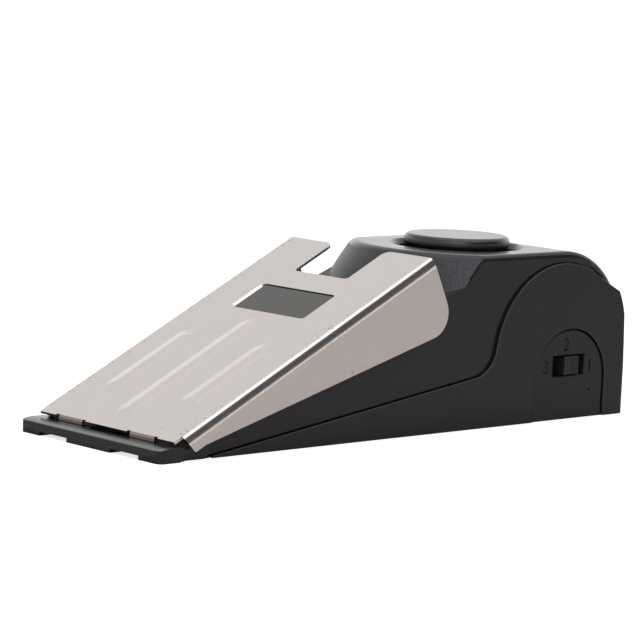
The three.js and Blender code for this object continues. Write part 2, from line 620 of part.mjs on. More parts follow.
function upperHousing() {
  const skin = wedgeForm(0, TOE_HALF_WIDTH, 0).intersect(upperPlan());
  const hollow = wedgeForm(WALL, SHELL_INNER_HALF, TOE_SOLID_LENGTH);
  const below = belowParting(FIT_GAP, TOE_SOLID_LENGTH, -BODY_WIDTH, BODY_WIDTH);
  let shell = cutBy(skin, hollow, below);

  // Lip that runs inside the skirt along the parting line
  const lipOuter = SKIRT_INNER_HALF - FIT_GAP;
  const lipBand = cutBy(
    belowParting(LIP_HEIGHT + FIT_GAP, LIP_START_X, -lipOuter, lipOuter),
    belowParting(-LIP_HEIGHT, TOE_SOLID_LENGTH, -BODY_WIDTH, BODY_WIDTH),
    block(0, LENGTH, LIP_THICKNESS - lipOuter, lipOuter - LIP_THICKNESS, -WALL, TOP_HEIGHT),
    block(LIP_END_X, LENGTH + BODY_WIDTH, -BODY_WIDTH, BODY_WIDTH, -WALL, TOP_HEIGHT),
  );
  shell = shell.add(lipBand);

  // Siren well
  const wellCup = drum(SIREN_X, 0, WELL_RADIUS + WALL, WELL_FLOOR_BASE, TOP_HEIGHT, WIDE_ROUND_SIDES);
  const wellBore = drum(SIREN_X, 0, WELL_RADIUS, WELL_FLOOR_HEIGHT, TOP_HEIGHT + WALL, WIDE_ROUND_SIDES);
  const soundHole = drum(SIREN_X, 0, SOUND_HOLE_RADIUS, WELL_FLOOR_BASE - WALL, TOP_HEIGHT);
  shell = shell.add(wellCup);

  // Posts, trimmed to the skin
  const postTop = TOP_HEIGHT - WALL / 2;
  const posts = boardPosts.map(([x, y]) => drum(x, y, BOARD_POST_RADIUS, BOARD_TOP, postTop));
  const base = HOUSING_BOSS_HEIGHT + FIT_GAP;
  posts.push(...housingPosts.map(([x, y]) => drum(x, y, HOUSING_BOSS_RADIUS, base, postTop)));
  const midSkin = wedgeForm(WALL / 2, SHELL_HALF_WIDTH - WALL / 2, TOE_SOLID_LENGTH);
  shell = shell.add(joined(...posts).intersect(midSkin));
  const pilot = SMALL_SCREW_RADIUS + FIT_GAP;
  const screwDepth = SMALL_SCREW_LENGTH + FIT_GAP;
  const holes = boardPosts.map(([x, y]) => drum(x, y, pilot, BOARD_TOP - WALL, BOARD_TOP + screwDepth));
  const tip = HOUSING_SCREW_RECESS + HOUSING_SCREW_HEAD_HEIGHT + HOUSING_SCREW_LENGTH + FIT_GAP;
  holes.push(...housingPosts.map(([x, y]) => drum(x, y, HOUSING_SCREW_RADIUS + FIT_GAP, 0, tip)));

  // Spring cup and switch bosses, square to the plate
  const bossTop = SPRING_SEAT_DEPTH - WALL;
  const bossBase = SWITCH_BASE_DEPTH;
  const bosses = sides.map((side) => (
    plateDrum(PLUNGER_S, side * SWITCH_BOSS_Y, SWITCH_BOSS_RADIUS, bossBase, bossTop)));
  const cup = plateDrum(PLUNGER_S, 0, SPRING_CUP_RADIUS, SPRING_SEAT_BASE, SPRING_CUP_RIM_DEPTH);
  const inside = wedgeForm(WALL / 2, SHELL_HALF_WIDTH, TOE_SOLID_LENGTH);
  shell = joined(shell, cup, ...bosses.map((boss) => boss.intersect(inside)));
  const cupBore = plateDrum(PLUNGER_S, 0, SPRING_CUP_BORE_RADIUS, SPRING_SEAT_DEPTH, 0);
  const plungerHole = plateDrum(PLUNGER_S, 0, PLUNGER_HOLE_RADIUS, SWITCH_BASE_DEPTH, 0);
  const bossHoles = sides.map((side) => (
    plateDrum(
      PLUNGER_S, side * SWITCH_BOSS_Y, pilot, SWITCH_BOARD_BASE_DEPTH, bossBase - SMALL_SCREW_LENGTH,
    )));

  // Toe: slots for the hinge tabs, a notch under each and the scoop between them
  const toeCuts = sides.flatMap((side) => {
    const [lowY, highY] = span(side, TAB_INNER_Y - FIT_GAP, TAB_OUTER_Y + FIT_GAP);
    const slotStart = PLATE_FRONT_X - TAB_SLOT_CLEARANCE;
    const slotEnd = PLATE_FRONT_X + PLATE_THICKNESS + TAB_SLOT_CLEARANCE;
    return [
      block(slotStart, slotEnd, lowY, highY, -WALL, TOP_HEIGHT),
      block(-WALL, TOE_NOTCH_LENGTH, lowY, highY, -WALL, TOE_NOTCH_HEIGHT),
      block(slotStart, TOE_NOTCH_LENGTH, lowY, highY, -WALL, TOE_NOTCH_HEIGHT + PLATE_THICKNESS),
    ];
  });
  const scoopFront = PLATE_FRONT_X - TOE_SCOOP_REACH;
  const scoop = planPrism([
    [PLATE_FRONT_X + TOE_SCOOP_REACH, -TOE_SCOOP_HALF_WIDTH],
    [RAMP_START_X - WALL, -TOE_SCOOP_HALF_WIDTH / 2],
    [RAMP_START_X - WALL, TOE_SCOOP_HALF_WIDTH / 2],
    [PLATE_FRONT_X + TOE_SCOOP_REACH, TOE_SCOOP_HALF_WIDTH],
    [scoopFront, TOE_SCOOP_HALF_WIDTH / 2, TOE_SCOOP_HALF_WIDTH / 2],
    [scoopFront, -TOE_SCOOP_HALF_WIDTH / 2, TOE_SCOOP_HALF_WIDTH / 2],
  ], TOE_TOP_HEIGHT - TOE_SCOOP_DEPTH, TOP_HEIGHT);
  return cutBy(shell, wellBore, soundHole, ...holes, cupBore, plungerHole, ...bossHoles, ...toeCuts, scoop);
}

// Y range on one side of the part, low value first; side is -1 (switch side) or 1
function span(side, innerY, outerY) {
  return [side * innerY, side * outerY].sort((a, b) => a - b);
}

function archOutline(radius, baseZ) {
  const top = arc(PANEL_X, PANEL_ARCH_HEIGHT, radius, 0, 180, LONG_ARC_STEPS);
  return [[PANEL_X - radius, baseZ], [PANEL_X + radius, baseZ], ...top];
}

function tongueStarts() {
  const pitch = (DOOR_END_X - DOOR_START_X) / DOOR_TONGUES;
  return Array.from({ length: DOOR_TONGUES }, (_, i) => DOOR_START_X + pitch * i + pitch / 2);
}

const padPlans = {
  front: [FRONT_PAD_START_X, FRONT_PAD_END_X, FRONT_PAD_HALF_WIDTH],
  rear: [REAR_PAD_START_X, REAR_PAD_END_X, REAR_PAD_HALF_WIDTH],
};

function padPlan([startX, endX, halfWidth], clearance) {
  const halfY = halfWidth + clearance;
  return rectangle(startX - clearance, endX + clearance, -halfY, halfY, PAD_CORNER_RADIUS + clearance);
}

function lowerHousing() {
  const startX = TOE_SOLID_LENGTH + FIT_GAP;
  const rearArc = (inset) => (
    arc(
      REAR_ARC_X,
      REAR_ARC_HEIGHT,
      LOWER_REAR_ARC_RADIUS - inset,
      LOWER_REAR_ARC_START_DEG,
      90,
      LONG_ARC_STEPS,
    ));
  const skin = sidePrism(
    [[startX, 0], [LENGTH, 0], ...rearArc(0), [startX, TOP_HEIGHT]],
    -SKIRT_HALF_WIDTH,
    SKIRT_HALF_WIDTH,
  );
  const plan = planPrism([
    [startX, -SKIRT_HALF_WIDTH],
    [LENGTH, -SKIRT_HALF_WIDTH, REAR_CORNER_RADIUS],
    [LENGTH, SKIRT_HALF_WIDTH, REAR_CORNER_RADIUS],
    [startX, SKIRT_HALF_WIDTH],
  ], -WALL, TOP_HEIGHT);
  const below = belowParting(0, startX, -BODY_WIDTH, BODY_WIDTH);
  const hollowProfile = [
    [0, FLOOR_THICKNESS], [LENGTH - WALL, FLOOR_THICKNESS], ...rearArc(WALL), [0, TOP_HEIGHT],
  ];
  const hollow = sidePrism(hollowProfile, -SKIRT_INNER_HALF, SKIRT_INNER_HALF);
  const rampUnderside = (x) => rampHeight(x) - RAMP_WALL_DROP - FIT_GAP;
  const underRamp = sidePrism([
    [0, rampUnderside(0)],
    [RAMP_END_X, rampUnderside(RAMP_END_X)],
    [RAMP_END_X, TOP_HEIGHT],
    [0, TOP_HEIGHT],
  ], -SKIRT_INNER_HALF, SKIRT_INNER_HALF);
  let shell = cutBy(skin.intersect(plan).intersect(below), hollow, underRamp);

  // Bosses round the housing screws, and the cradle round the battery
  const added = housingPosts.map(([x, y]) => drum(x, y, HOUSING_BOSS_RADIUS, 0, HOUSING_BOSS_HEIGHT));
  const cradleTop = FLOOR_THICKNESS + CRADLE_HEIGHT;
  const cradleBase = FLOOR_THICKNESS - DOOR_OVERLAP / 2;
  for (const side of sides) {
    const [lowY, highY] = span(side, BAY_HALF_WIDTH, BAY_HALF_WIDTH + CRADLE_WALL);
    added.push(block(BATTERY_START_X, BATTERY_END_X, lowY, highY, cradleBase, cradleTop));
  }
  for (const stopX of [BATTERY_START_X - FIT_GAP - CRADLE_WALL, SNAP_END_X + FIT_GAP]) {
    added.push(block(
      stopX,
      stopX + CRADLE_WALL,
      -CRADLE_STOP_HALF_WIDTH,
      CRADLE_STOP_HALF_WIDTH,
      cradleBase,
      cradleTop,
    ));
  }
  shell = joined(shell, ...added);

  const cuts = [];
  for (const [x, y] of housingPosts) {
    cuts.push(drum(x, y, HOUSING_SCREW_RADIUS + FIT_GAP, -WALL, TOP_HEIGHT));
    cuts.push(drum(
      x,
      y,
      HOUSING_SCREW_HEAD_RADIUS + FIT_GAP,
      -WALL,
      HOUSING_SCREW_RECESS + HOUSING_SCREW_HEAD_HEIGHT,
    ));
  }

  // Battery bay, door recess and the grooves that hold the door's tongues
  const bayEnd = BATTERY_END_X + FIT_GAP;
  cuts.push(block(
    BATTERY_START_X - FIT_GAP, bayEnd, -BAY_HALF_WIDTH, BAY_HALF_WIDTH, -WALL, FLOOR_THICKNESS + WALL,
  ));
  const recessHalf = DOOR_HALF_WIDTH + FIT_GAP;
  const recessStart = DOOR_START_X - DOOR_TRAVEL - FIT_GAP;
  cuts.push(block(recessStart, DOOR_END_X + FIT_GAP, -recessHalf, recessHalf, -WALL, DOOR_RECESS_DEPTH));
  const tongueBase = DOOR_BASE_HEIGHT + DOOR_THICKNESS - DOOR_TONGUE_THICKNESS - FIT_GAP;
  for (const tongueX of tongueStarts()) {
    const open = tongueX - DOOR_TRAVEL - FIT_GAP;
    const shut = tongueX + DOOR_TONGUE_LENGTH + FIT_GAP;
    const reach = DOOR_HALF_WIDTH + DOOR_TONGUE_PROUD + FIT_GAP;
    cuts.push(block(open, shut, -reach, reach, tongueBase, DOOR_RECESS_DEPTH));
    cuts.push(block(open, shut - DOOR_TRAVEL, -reach, reach, -WALL, DOOR_RECESS_DEPTH));
  }

  for (const pad of Object.values(padPlans)) {
    cuts.push(planPrism(padPlan(pad, FIT_GAP), -WALL, PAD_THICKNESS));
  }
  for (const side of sides) {
    const [lowY, highY] = span(side, SKIRT_INNER_HALF, BODY_WIDTH);
    cuts.push(sidePrism(archOutline(PANEL_RADIUS + PANEL_GROOVE, -WALL), lowY, highY));
  }
  return cutBy(shell, ...cuts);
}

function pressPlate() {
  const inner = PLATE_HALF_WIDTH - PLATE_THICKNESS;
  const bendY = PLATE_HALF_WIDTH - PLATE_BEND_RADIUS;
  const innerBend = PLATE_BEND_RADIUS - PLATE_THICKNESS;
  const section = [
    [-PLATE_HALF_WIDTH, -CUT_OVERRUN],
    ...arc(-bendY, -PLATE_BEND_RADIUS, PLATE_BEND_RADIUS, 180, 90),
    ...arc(bendY, -PLATE_BEND_RADIUS, PLATE_BEND_RADIUS, 90, 0),
    [PLATE_HALF_WIDTH, -CUT_OVERRUN],
    [inner, -CUT_OVERRUN],
    ...arc(bendY, -PLATE_BEND_RADIUS, innerBend, 0, 90),
    ...arc(-bendY, -PLATE_BEND_RADIUS, innerBend, 90, 180),
    [-inner, -CUT_OVERRUN],
  ];
  const flangeOutline = [
    [FLANGE_START, WALL],
    [FLANGE_START, -PLATE_THICKNESS],
    [FLANGE_LOW_START, -FLANGE_FRONT_DEPTH, PLATE_THICKNESS],
    [FLANGE_TAPER_START, -FLANGE_FRONT_DEPTH],
    [PLATE_LENGTH, -FLANGE_REAR_DEPTH, FLANGE_CORNER_RADIUS],
    [PLATE_LENGTH, WALL],
  ];
  const flanges = sidePrism(flangeOutline, -BODY_WIDTH, BODY_WIDTH);
  const folded = frontPrism(section, 0, PLATE_LENGTH).intersect(flanges);
  const front = block(0, FLANGE_START + WALL, -bendY, bendY, -PLATE_THICKNESS, 0);
  const beads = [
    [MIDDLE_BEAD_START, MIDDLE_BEAD_END, 0],
    [SIDE_BEAD_START, SIDE_BEAD_END, -SIDE_BEAD_Y],
    [SIDE_BEAD_START, SIDE_BEAD_END, SIDE_BEAD_Y],
  ].flatMap(([start, end, y]) => [0, 1].map((tier) => {
    const halfWidth = BEAD_HALF_WIDTH - tier * BEAD_HALF_WIDTH / 3;
    const inset = BEAD_HALF_WIDTH - halfWidth;
    const top = BEAD_HEIGHT * (tier + 1) / 2;
    return planPrism(
      rectangle(start + inset, end - inset, y - halfWidth, y + halfWidth, halfWidth * BEAD_END_SHARE),
      -PLATE_THICKNESS / 2,
      top,
    );
  }));
  const window = planPrism(
    rectangle(
      WINDOW_START,
      WINDOW_START + WINDOW_LENGTH,
      -WINDOW_HALF_WIDTH,
      WINDOW_HALF_WIDTH,
      WINDOW_CORNER_RADIUS,
    ),
    -WALL,
    WALL,
  );
  const earY = NOTCH_HALF_WIDTH + EAR_CORNER_RADIUS;
  const earS = PLATE_LENGTH - EAR_CORNER_RADIUS;
  const notch = planPrism([
    [NOTCH_START, -NOTCH_HALF_WIDTH, NOTCH_CORNER_RADIUS],
    [NOTCH_START, NOTCH_HALF_WIDTH, NOTCH_CORNER_RADIUS],
    ...arc(earS, earY, EAR_CORNER_RADIUS, -90, 0),
    [PLATE_LENGTH + WALL, earY],
    [PLATE_LENGTH + WALL, -earY],
    ...arc(earS, -earY, EAR_CORNER_RADIUS, 0, 90),
  ], -WALL, WALL);
  const plate = onPlate(cutBy(joined(folded, front, ...beads), window, notch));

  // Hinge tabs: down from the front edge, through the toe, with a foot under it
  const backX = PLATE_FRONT_X + PLATE_THICKNESS;
  const footTop = TAB_FOOT_LIFT + PLATE_THICKNESS;
  const tabTop = PLATE_FRONT_HEIGHT - PLATE_THICKNESS / 2;
  const tabOutline = [
    [PLATE_FRONT_X, tabTop],
    [PLATE_FRONT_X, TAB_FOOT_LIFT],
    [backX + TAB_FOOT_LENGTH, TAB_FOOT_LIFT],
    [backX + TAB_FOOT_LENGTH, footTop],
    [backX, footTop],
    [backX, tabTop],
  ];
  const tabs = sides.map((side) => sidePrism(tabOutline, ...span(side, TAB_INNER_Y, TAB_OUTER_Y)));
  return joined(plate, ...tabs);
}

// Smoked pane behind the plate's window
function windowPane() {
  const top = -PLATE_THICKNESS - FIT_GAP;
  return onPlate(planPrism(
    rectangle(
      WINDOW_START - PANE_MARGIN,
      WINDOW_START + WINDOW_LENGTH + PANE_MARGIN,
      -WINDOW_HALF_WIDTH - PANE_MARGIN,
      WINDOW_HALF_WIDTH + PANE_MARGIN,
      WINDOW_CORNER_RADIUS,
    ),
    top - PANE_THICKNESS,
    top,
  ));
}

function platePlunger() {
  const headDepth = PLATE_THICKNESS + FIT_GAP;
  const profile = [
    [0, -PLUNGER_TIP_DEPTH],
    [PLUNGER_TIP_RADIUS, -PLUNGER_TIP_DEPTH],
    [PLUNGER_TIP_RADIUS, -FOOT_END_DEPTH],
    [PLUNGER_FOOT_RADIUS, -FOOT_END_DEPTH],
    [PLUNGER_FOOT_RADIUS, -FOOT_START_DEPTH],
    [PLUNGER_RADIUS, -FOOT_START_DEPTH],
    [PLUNGER_RADIUS, -headDepth - PLUNGER_HEAD_THICKNESS],
    [PLUNGER_HEAD_RADIUS, -headDepth - PLUNGER_HEAD_THICKNESS],
    [PLUNGER_HEAD_RADIUS, -headDepth],
    [0, -headDepth],
  ];
  return onPlate(turned(profile, PLUNGER_S, 0));
}

// Middle line of the return spring in the plate's frame, as one helix
function springPath() {
  const lowest = -SPRING_END_DEPTH + SPRING_WIRE / 2;
  const highest = -SPRING_START_DEPTH - SPRING_WIRE / 2;
  const steps = SPRING_CURLS * SPRING_STEPS_PER_CURL;
  return Array.from({ length: steps + 1 }, (_, i) => {
    const angle = i / SPRING_STEPS_PER_CURL * 2 * Math.PI;
    const x = PLUNGER_S + SPRING_COIL_RADIUS * Math.cos(angle);
    const y = SPRING_COIL_RADIUS * Math.sin(angle);
    return new THREE.Vector3(x, y, lowest + (highest - lowest) * i / steps);
  });
}

// Each end runs straight along the tangent for one wire diameter
function returnSpring() {
  const path = springPath();
  const tangent = (angleSign) => new THREE.Vector3(0, angleSign * SPRING_WIRE, 0);
  path.unshift(path[0].clone().add(tangent(-1)));
  path.push(path[path.length - 1].clone().add(tangent(1)));
  return onPlate(sweptTube(path, SPRING_WIRE / 2, SPRING_WIRE_SIDES));
}

// Tube through every point of a path, one ring of corners at each point
function sweptTube(path, radius, sidesOfTube) {
  const rings = path.map((point, i) => {
    const before = path[Math.max(i - 1, 0)];
    const after = path[Math.min(i + 1, path.length - 1)];
    const ahead = after.clone().sub(before).normalize();
    const up = new THREE.Vector3(0, 0, 1).addScaledVector(ahead, -ahead.z).normalize();
    const out = ahead.clone().cross(up);
    return Array.from({ length: sidesOfTube }, (_, j) => {
      const angle = j / sidesOfTube * 2 * Math.PI;
      return point.clone()
        .addScaledVector(up, radius * Math.cos(angle))
        .addScaledVector(out, radius * Math.sin(angle));
    });
  });
  const corners = rings.flat().flatMap((corner) => corner.toArray());
  const faces = [];
  for (let i = 0; i + 1 < rings.length; i += 1) {
    for (let j = 0; j < sidesOfTube; j += 1) {
      const next = (j + 1) % sidesOfTube;
      const [a, b] = [i * sidesOfTube + j, i * sidesOfTube + next];
      faces.push(a, b, b + sidesOfTube, a, b + sidesOfTube, a + sidesOfTube);
    }
  }
  const last = (rings.length - 1) * sidesOfTube;
  for (let j = 1; j + 1 < sidesOfTube; j += 1) {
    faces.push(0, j + 1, j, last, last + j, last + j + 1);
  }
  const geometry = new THREE.BufferGeometry();
  geometry.setAttribute('position', new THREE.Float32BufferAttribute(corners, 3));
  geometry.setIndex(faces);
  return solid(geometry);
}

// Least gap between neighbouring curls, measured on the points of the helix
function leastSpringGap() {
  const path = springPath();
  let least = Infinity;
  for (let i = 0; i < path.length; i += 1) {
    for (let j = i + SPRING_STEPS_PER_CURL / 2; j < path.length; j += 1) {
      least = Math.min(least, path[i].distanceTo(path[j]) - SPRING_WIRE);
    }
  }
  return least;
}

function pressSwitch() {
  const half = SWITCH_SIZE / 2;
  const body = block(
    PLUNGER_S - half, PLUNGER_S + half, -half, half, -SWITCH_BASE_DEPTH, -SWITCH_TOP_DEPTH,
  );
  const bore = drum(PLUNGER_S, 0, SWITCH_BORE_RADIUS, -SWITCH_TOP_DEPTH - SWITCH_BORE_DEPTH, 0);
  return onPlate(body.subtract(bore));
}

function pressSwitchBoard() {
  const half = SWITCH_BOARD_LENGTH / 2;
  const halfY = SWITCH_BOARD_HALF_WIDTH;
  const board = block(
    PLUNGER_S - half,
    PLUNGER_S + half,
    -halfY,
    halfY,
    -SWITCH_BOARD_BASE_DEPTH,
    -SWITCH_BOARD_TOP_DEPTH,
  );
  const holes = sides.map((side) => (
    drum(
      PLUNGER_S, side * SWITCH_BOSS_Y, SMALL_SCREW_RADIUS + FIT_GAP, -SWITCH_BOARD_BASE_DEPTH - WALL, 0,
    )));
  return onPlate(cutBy(board, ...holes));
}

function screwProfile(headBase, headTop, headRadius, radius, tip) {
  return [
    [0, headBase],
    [headRadius, headBase],
    [headRadius, headTop],
    [radius, headTop],
    [radius, tip],
    [0, tip],
  ];
}

function switchBoardScrew(side) {
  const headTop = -SWITCH_BOARD_BASE_DEPTH - FIT_GAP;
  const headBase = headTop - SMALL_SCREW_HEAD_HEIGHT;
  const tip = -SWITCH_BASE_DEPTH + SMALL_SCREW_LENGTH - FIT_GAP;
  const profile = screwProfile(headBase, headTop, SMALL_SCREW_HEAD_RADIUS, SMALL_SCREW_RADIUS, tip);
  return onPlate(turned(profile, PLUNGER_S, side * SWITCH_BOSS_Y));
}

function boardScrew([x, y]) {
  const headBase = MAIN_BOARD_HEIGHT - SMALL_SCREW_HEAD_HEIGHT;
  const tip = BOARD_TOP + SMALL_SCREW_LENGTH;
  const profile = screwProfile(
    headBase, MAIN_BOARD_HEIGHT, SMALL_SCREW_HEAD_RADIUS, SMALL_SCREW_RADIUS, tip,
  );
  return turned(profile, x, y);
}

function housingScrew([x, y]) {
  const headTop = HOUSING_SCREW_RECESS + HOUSING_SCREW_HEAD_HEIGHT;
  const tip = headTop + HOUSING_SCREW_LENGTH;
  const profile = screwProfile(
    HOUSING_SCREW_RECESS, headTop, HOUSING_SCREW_HEAD_RADIUS, HOUSING_SCREW_RADIUS, tip,
  );
  return turned(profile, x, y);
}

function sirenCap() {
  const edge = CAP_RADIUS - CAP_FLAT_RADIUS;
  const profile = [
    [0, CAP_BASE],
    [CAP_RADIUS - FIT_GAP, CAP_BASE],
    ...arc(CAP_FLAT_RADIUS, CAP_TOP_HEIGHT - edge, edge, 0, 90),
    [0, CAP_TOP_HEIGHT],
  ];
  return turned(profile, SIREN_X, 0, WIDE_ROUND_SIDES);
}

function sirenNeck() {
  const neck = ring(
    SIREN_X, 0, NECK_RADIUS - NECK_WALL, NECK_RADIUS, WELL_FLOOR_HEIGHT, CAP_BASE, WIDE_ROUND_SIDES,
  );
  const windowHeight = CAP_BASE - WELL_FLOOR_HEIGHT;
  const windows = Array.from({ length: NECK_WINDOWS }, (_, i) => {
    const opening = new THREE.BoxGeometry(NECK_RADIUS, NECK_WINDOW_WIDTH, windowHeight);
    opening.translate(NECK_RADIUS, 0, WELL_FLOOR_HEIGHT + NECK_SILL + windowHeight / 2);
    opening.rotateZ((i + 1 / 2) * 2 * Math.PI / NECK_WINDOWS);
    opening.translate(SIREN_X, 0, 0);
    return solid(opening);
  });
  return cutBy(neck, ...windows);
}

function sirenChamber() {
  const bore = CHAMBER_RADIUS - CHAMBER_WALL;
  const profile = [
    [bore - CHAMBER_LEDGE, CHAMBER_BASE],
    [CHAMBER_RADIUS, CHAMBER_BASE],
    [CHAMBER_RADIUS, WELL_FLOOR_BASE],
    [bore, WELL_FLOOR_BASE],
    [bore, DISC_BASE],
    [bore - CHAMBER_LEDGE, DISC_BASE],
  ];
  return turned([...profile, profile[0]], SIREN_X, 0, WIDE_ROUND_SIDES);
}

const piezoDisc = () => drum(SIREN_X, 0, PIEZO_DISC_RADIUS, DISC_BASE, DISC_TOP, WIDE_ROUND_SIDES);
const piezoCeramic = () => (
  drum(SIREN_X, 0, PIEZO_CERAMIC_RADIUS, DISC_BASE - PIEZO_CERAMIC_THICKNESS, DISC_BASE, WIDE_ROUND_SIDES));
const piezoGasket = () => (
  ring(
    SIREN_X,
    0,
    PIEZO_DISC_RADIUS - GASKET_WIDTH,
    PIEZO_DISC_RADIUS,
    DISC_TOP,
    WELL_FLOOR_BASE,
    WIDE_ROUND_SIDES,
  ));

function mainBoard() {
  const halfY = MAIN_BOARD_HALF_WIDTH;
  const plan = rectangle(MAIN_BOARD_START_X, MAIN_BOARD_END_X, -halfY, halfY, MAIN_BOARD_CORNER_RADIUS);
  const holes = boardPosts.map(([x, y]) => drum(x, y, SMALL_SCREW_RADIUS + FIT_GAP, 0, TOP_HEIGHT));
  return cutBy(planPrism(plan, MAIN_BOARD_HEIGHT, BOARD_TOP), ...holes);
}

function driverChip() {
  const [halfX, halfY] = [CHIP_LENGTH / 2, CHIP_WIDTH / 2];
  return block(
    CHIP_X - halfX, CHIP_X + halfX, CHIP_Y - halfY, CHIP_Y + halfY, BOARD_TOP, BOARD_TOP + CHIP_HEIGHT,
  );
}

function boostCoil() {
  const waist = COIL_RADIUS - COIL_FLANGE;
  const top = BOARD_TOP + COIL_HEIGHT;
  const profile = [
    [0, BOARD_TOP],
    [COIL_RADIUS, BOARD_TOP],
    [COIL_RADIUS, BOARD_TOP + COIL_FLANGE],
    [waist, BOARD_TOP + COIL_FLANGE],
    [waist, top - COIL_FLANGE],
    [COIL_RADIUS, top - COIL_FLANGE],
    [COIL_RADIUS, top],
    [0, top],
  ];
  return turned(profile, COIL_X, COIL_Y);
}

const capacitor = () => drum(
  CAPACITOR_X, CAPACITOR_Y, CAPACITOR_RADIUS, BOARD_TOP, BOARD_TOP + CAPACITOR_HEIGHT,
);
const vibrationSensor = () => drum(SENSOR_X, SENSOR_Y, SENSOR_RADIUS, BOARD_TOP, BOARD_TOP + SENSOR_HEIGHT);

function driveTransistor() {
  const flatDeg = THREE.MathUtils.radToDeg(Math.acos(TRANSISTOR_FLAT_SHARE));
  const plan = arc(TRANSISTOR_X, TRANSISTOR_Y, TRANSISTOR_RADIUS, flatDeg, 360 - flatDeg, LONG_ARC_STEPS);
  return planPrism(plan, BOARD_TOP, BOARD_TOP + TRANSISTOR_HEIGHT);
}

// Arched insert of the skirt wall, with a flange behind the wall and the slot of the slide knob
function switchPanel(side) {
  const inside = FLOOR_THICKNESS + FIT_GAP;
  const plate = sidePrism(archOutline(PANEL_RADIUS, 0), ...span(
    side, SKIRT_INNER_HALF + FIT_GAP, PANEL_FACE_Y,
  ));
  const core = sidePrism(archOutline(PANEL_RADIUS, inside), ...span(
    side, PANEL_FLANGE_INNER_Y, PANEL_FACE_Y,
  ));
  const flangeSpan = span(side, PANEL_FLANGE_INNER_Y, PANEL_FLANGE_OUTER_Y);
  const flange = sidePrism(archOutline(PANEL_RADIUS + PANEL_FLANGE, inside), ...flangeSpan);
  const [halfX, halfZ] = [SLOT_LENGTH / 2, SLOT_WIDTH / 2];
  const slot = block(
    SLOT_X - halfX,
    SLOT_X + halfX,
    ...span(side, 0, BODY_WIDTH),
    SLOT_HEIGHT - halfZ,
    SLOT_HEIGHT + halfZ,
  );
  return cutBy(joined(plate, core, flange), slot);
}

function knobBlock(x, length, side, innerY, outerY, width) {
  const [lowZ, highZ] = [SLOT_HEIGHT - width / 2, SLOT_HEIGHT + width / 2];
  return block(x - length / 2, x + length / 2, ...span(side, innerY, outerY), lowZ, highZ);
}

// Slide knob with a hollowed grip, a base behind the slot and a lever into the switch
function slideKnob(side, offset) {
  const x = SLOT_X + offset;
  const faceY = PANEL_FACE_Y + KNOB_PROUD;
  const grip = knobBlock(x, KNOB_LENGTH, side, KNOB_BASE_INNER_Y, faceY, KNOB_WIDTH);
  const base = knobBlock(x, KNOB_BASE_LENGTH, side, KNOB_BASE_INNER_Y, KNOB_BASE_OUTER_Y, KNOB_BASE_WIDTH);
  const lever = knobBlock(
    x, LEVER_LENGTH, side, KNOB_BASE_INNER_Y - LEVER_REACH, KNOB_BASE_OUTER_Y, LEVER_WIDTH,
  );
  const hollowY = side * (faceY + KNOB_GRIP_RADIUS - KNOB_GRIP_DEPTH);
  return cutBy(joined(grip, base, lever), drum(x, hollowY, KNOB_GRIP_RADIUS, 0, TOP_HEIGHT));
}

function slideSwitch(side) {
  const body = knobBlock(
    SLOT_X, SLIDE_SWITCH_LENGTH, side, SLIDE_SWITCH_INNER_Y, SLIDE_SWITCH_OUTER_Y, SLIDE_SWITCH_WIDTH,
  );
  const slitInner = KNOB_BASE_INNER_Y - LEVER_REACH - FIT_GAP;
  const slitLength = LEVER_LENGTH + (SLIDER_TRAVEL + FIT_GAP) * 2;
  return body.subtract(knobBlock(
    SLOT_X, slitLength, side, slitInner, BODY_WIDTH, LEVER_WIDTH + FIT_GAP * 2,
  ));
}

function sideBoard(side) {
  const ySpan = span(side, SIDE_BOARD_INNER_Y, SLIDE_SWITCH_INNER_Y);
  return block(SIDE_BOARD_START_X, SIDE_BOARD_END_X, ...ySpan, SIDE_BOARD_BASE_HEIGHT, MAIN_BOARD_HEIGHT);
}

function battery() {
  const halfY = BATTERY_WIDTH / 2;
  const top = BATTERY_BASE_HEIGHT + BATTERY_HEIGHT;
  return frontPrism(
    rectangle(-halfY, halfY, BATTERY_BASE_HEIGHT, top, BATTERY_CORNER_RADIUS),
    BATTERY_START_X,
    BATTERY_END_X,
  );
}

function rodAlongX(y, z, radius, lowX, highX) {
  return frontPrism(arc(y, z, radius, 0, 360, ROUND_SIDES).slice(1), lowX, highX);
}

function batteryTerminal(side, radius) {
  return rodAlongX(
    side * TERMINAL_Y, BATTERY_MIDDLE_HEIGHT, radius, BATTERY_END_X, BATTERY_END_X + TERMINAL_LENGTH,
  );
}

function batterySnap() {
  const [halfY, halfZ] = [SNAP_WIDTH / 2, SNAP_HEIGHT / 2];
  const lowZ = BATTERY_MIDDLE_HEIGHT - halfZ;
  const body = block(SNAP_START_X, SNAP_END_X, -halfY, halfY, lowZ, BATTERY_MIDDLE_HEIGHT + halfZ);
  const deep = BATTERY_END_X + TERMINAL_LENGTH + FIT_GAP;
  const plus = rodAlongX(
    TERMINAL_Y, BATTERY_MIDDLE_HEIGHT, TERMINAL_PLUS_RADIUS + FIT_GAP, BATTERY_END_X, deep,
  );
  const minus = rodAlongX(
    -TERMINAL_Y, BATTERY_MIDDLE_HEIGHT, TERMINAL_MINUS_RADIUS + FIT_GAP, BATTERY_END_X, deep,
  );
  return cutBy(body, plus, minus);
}

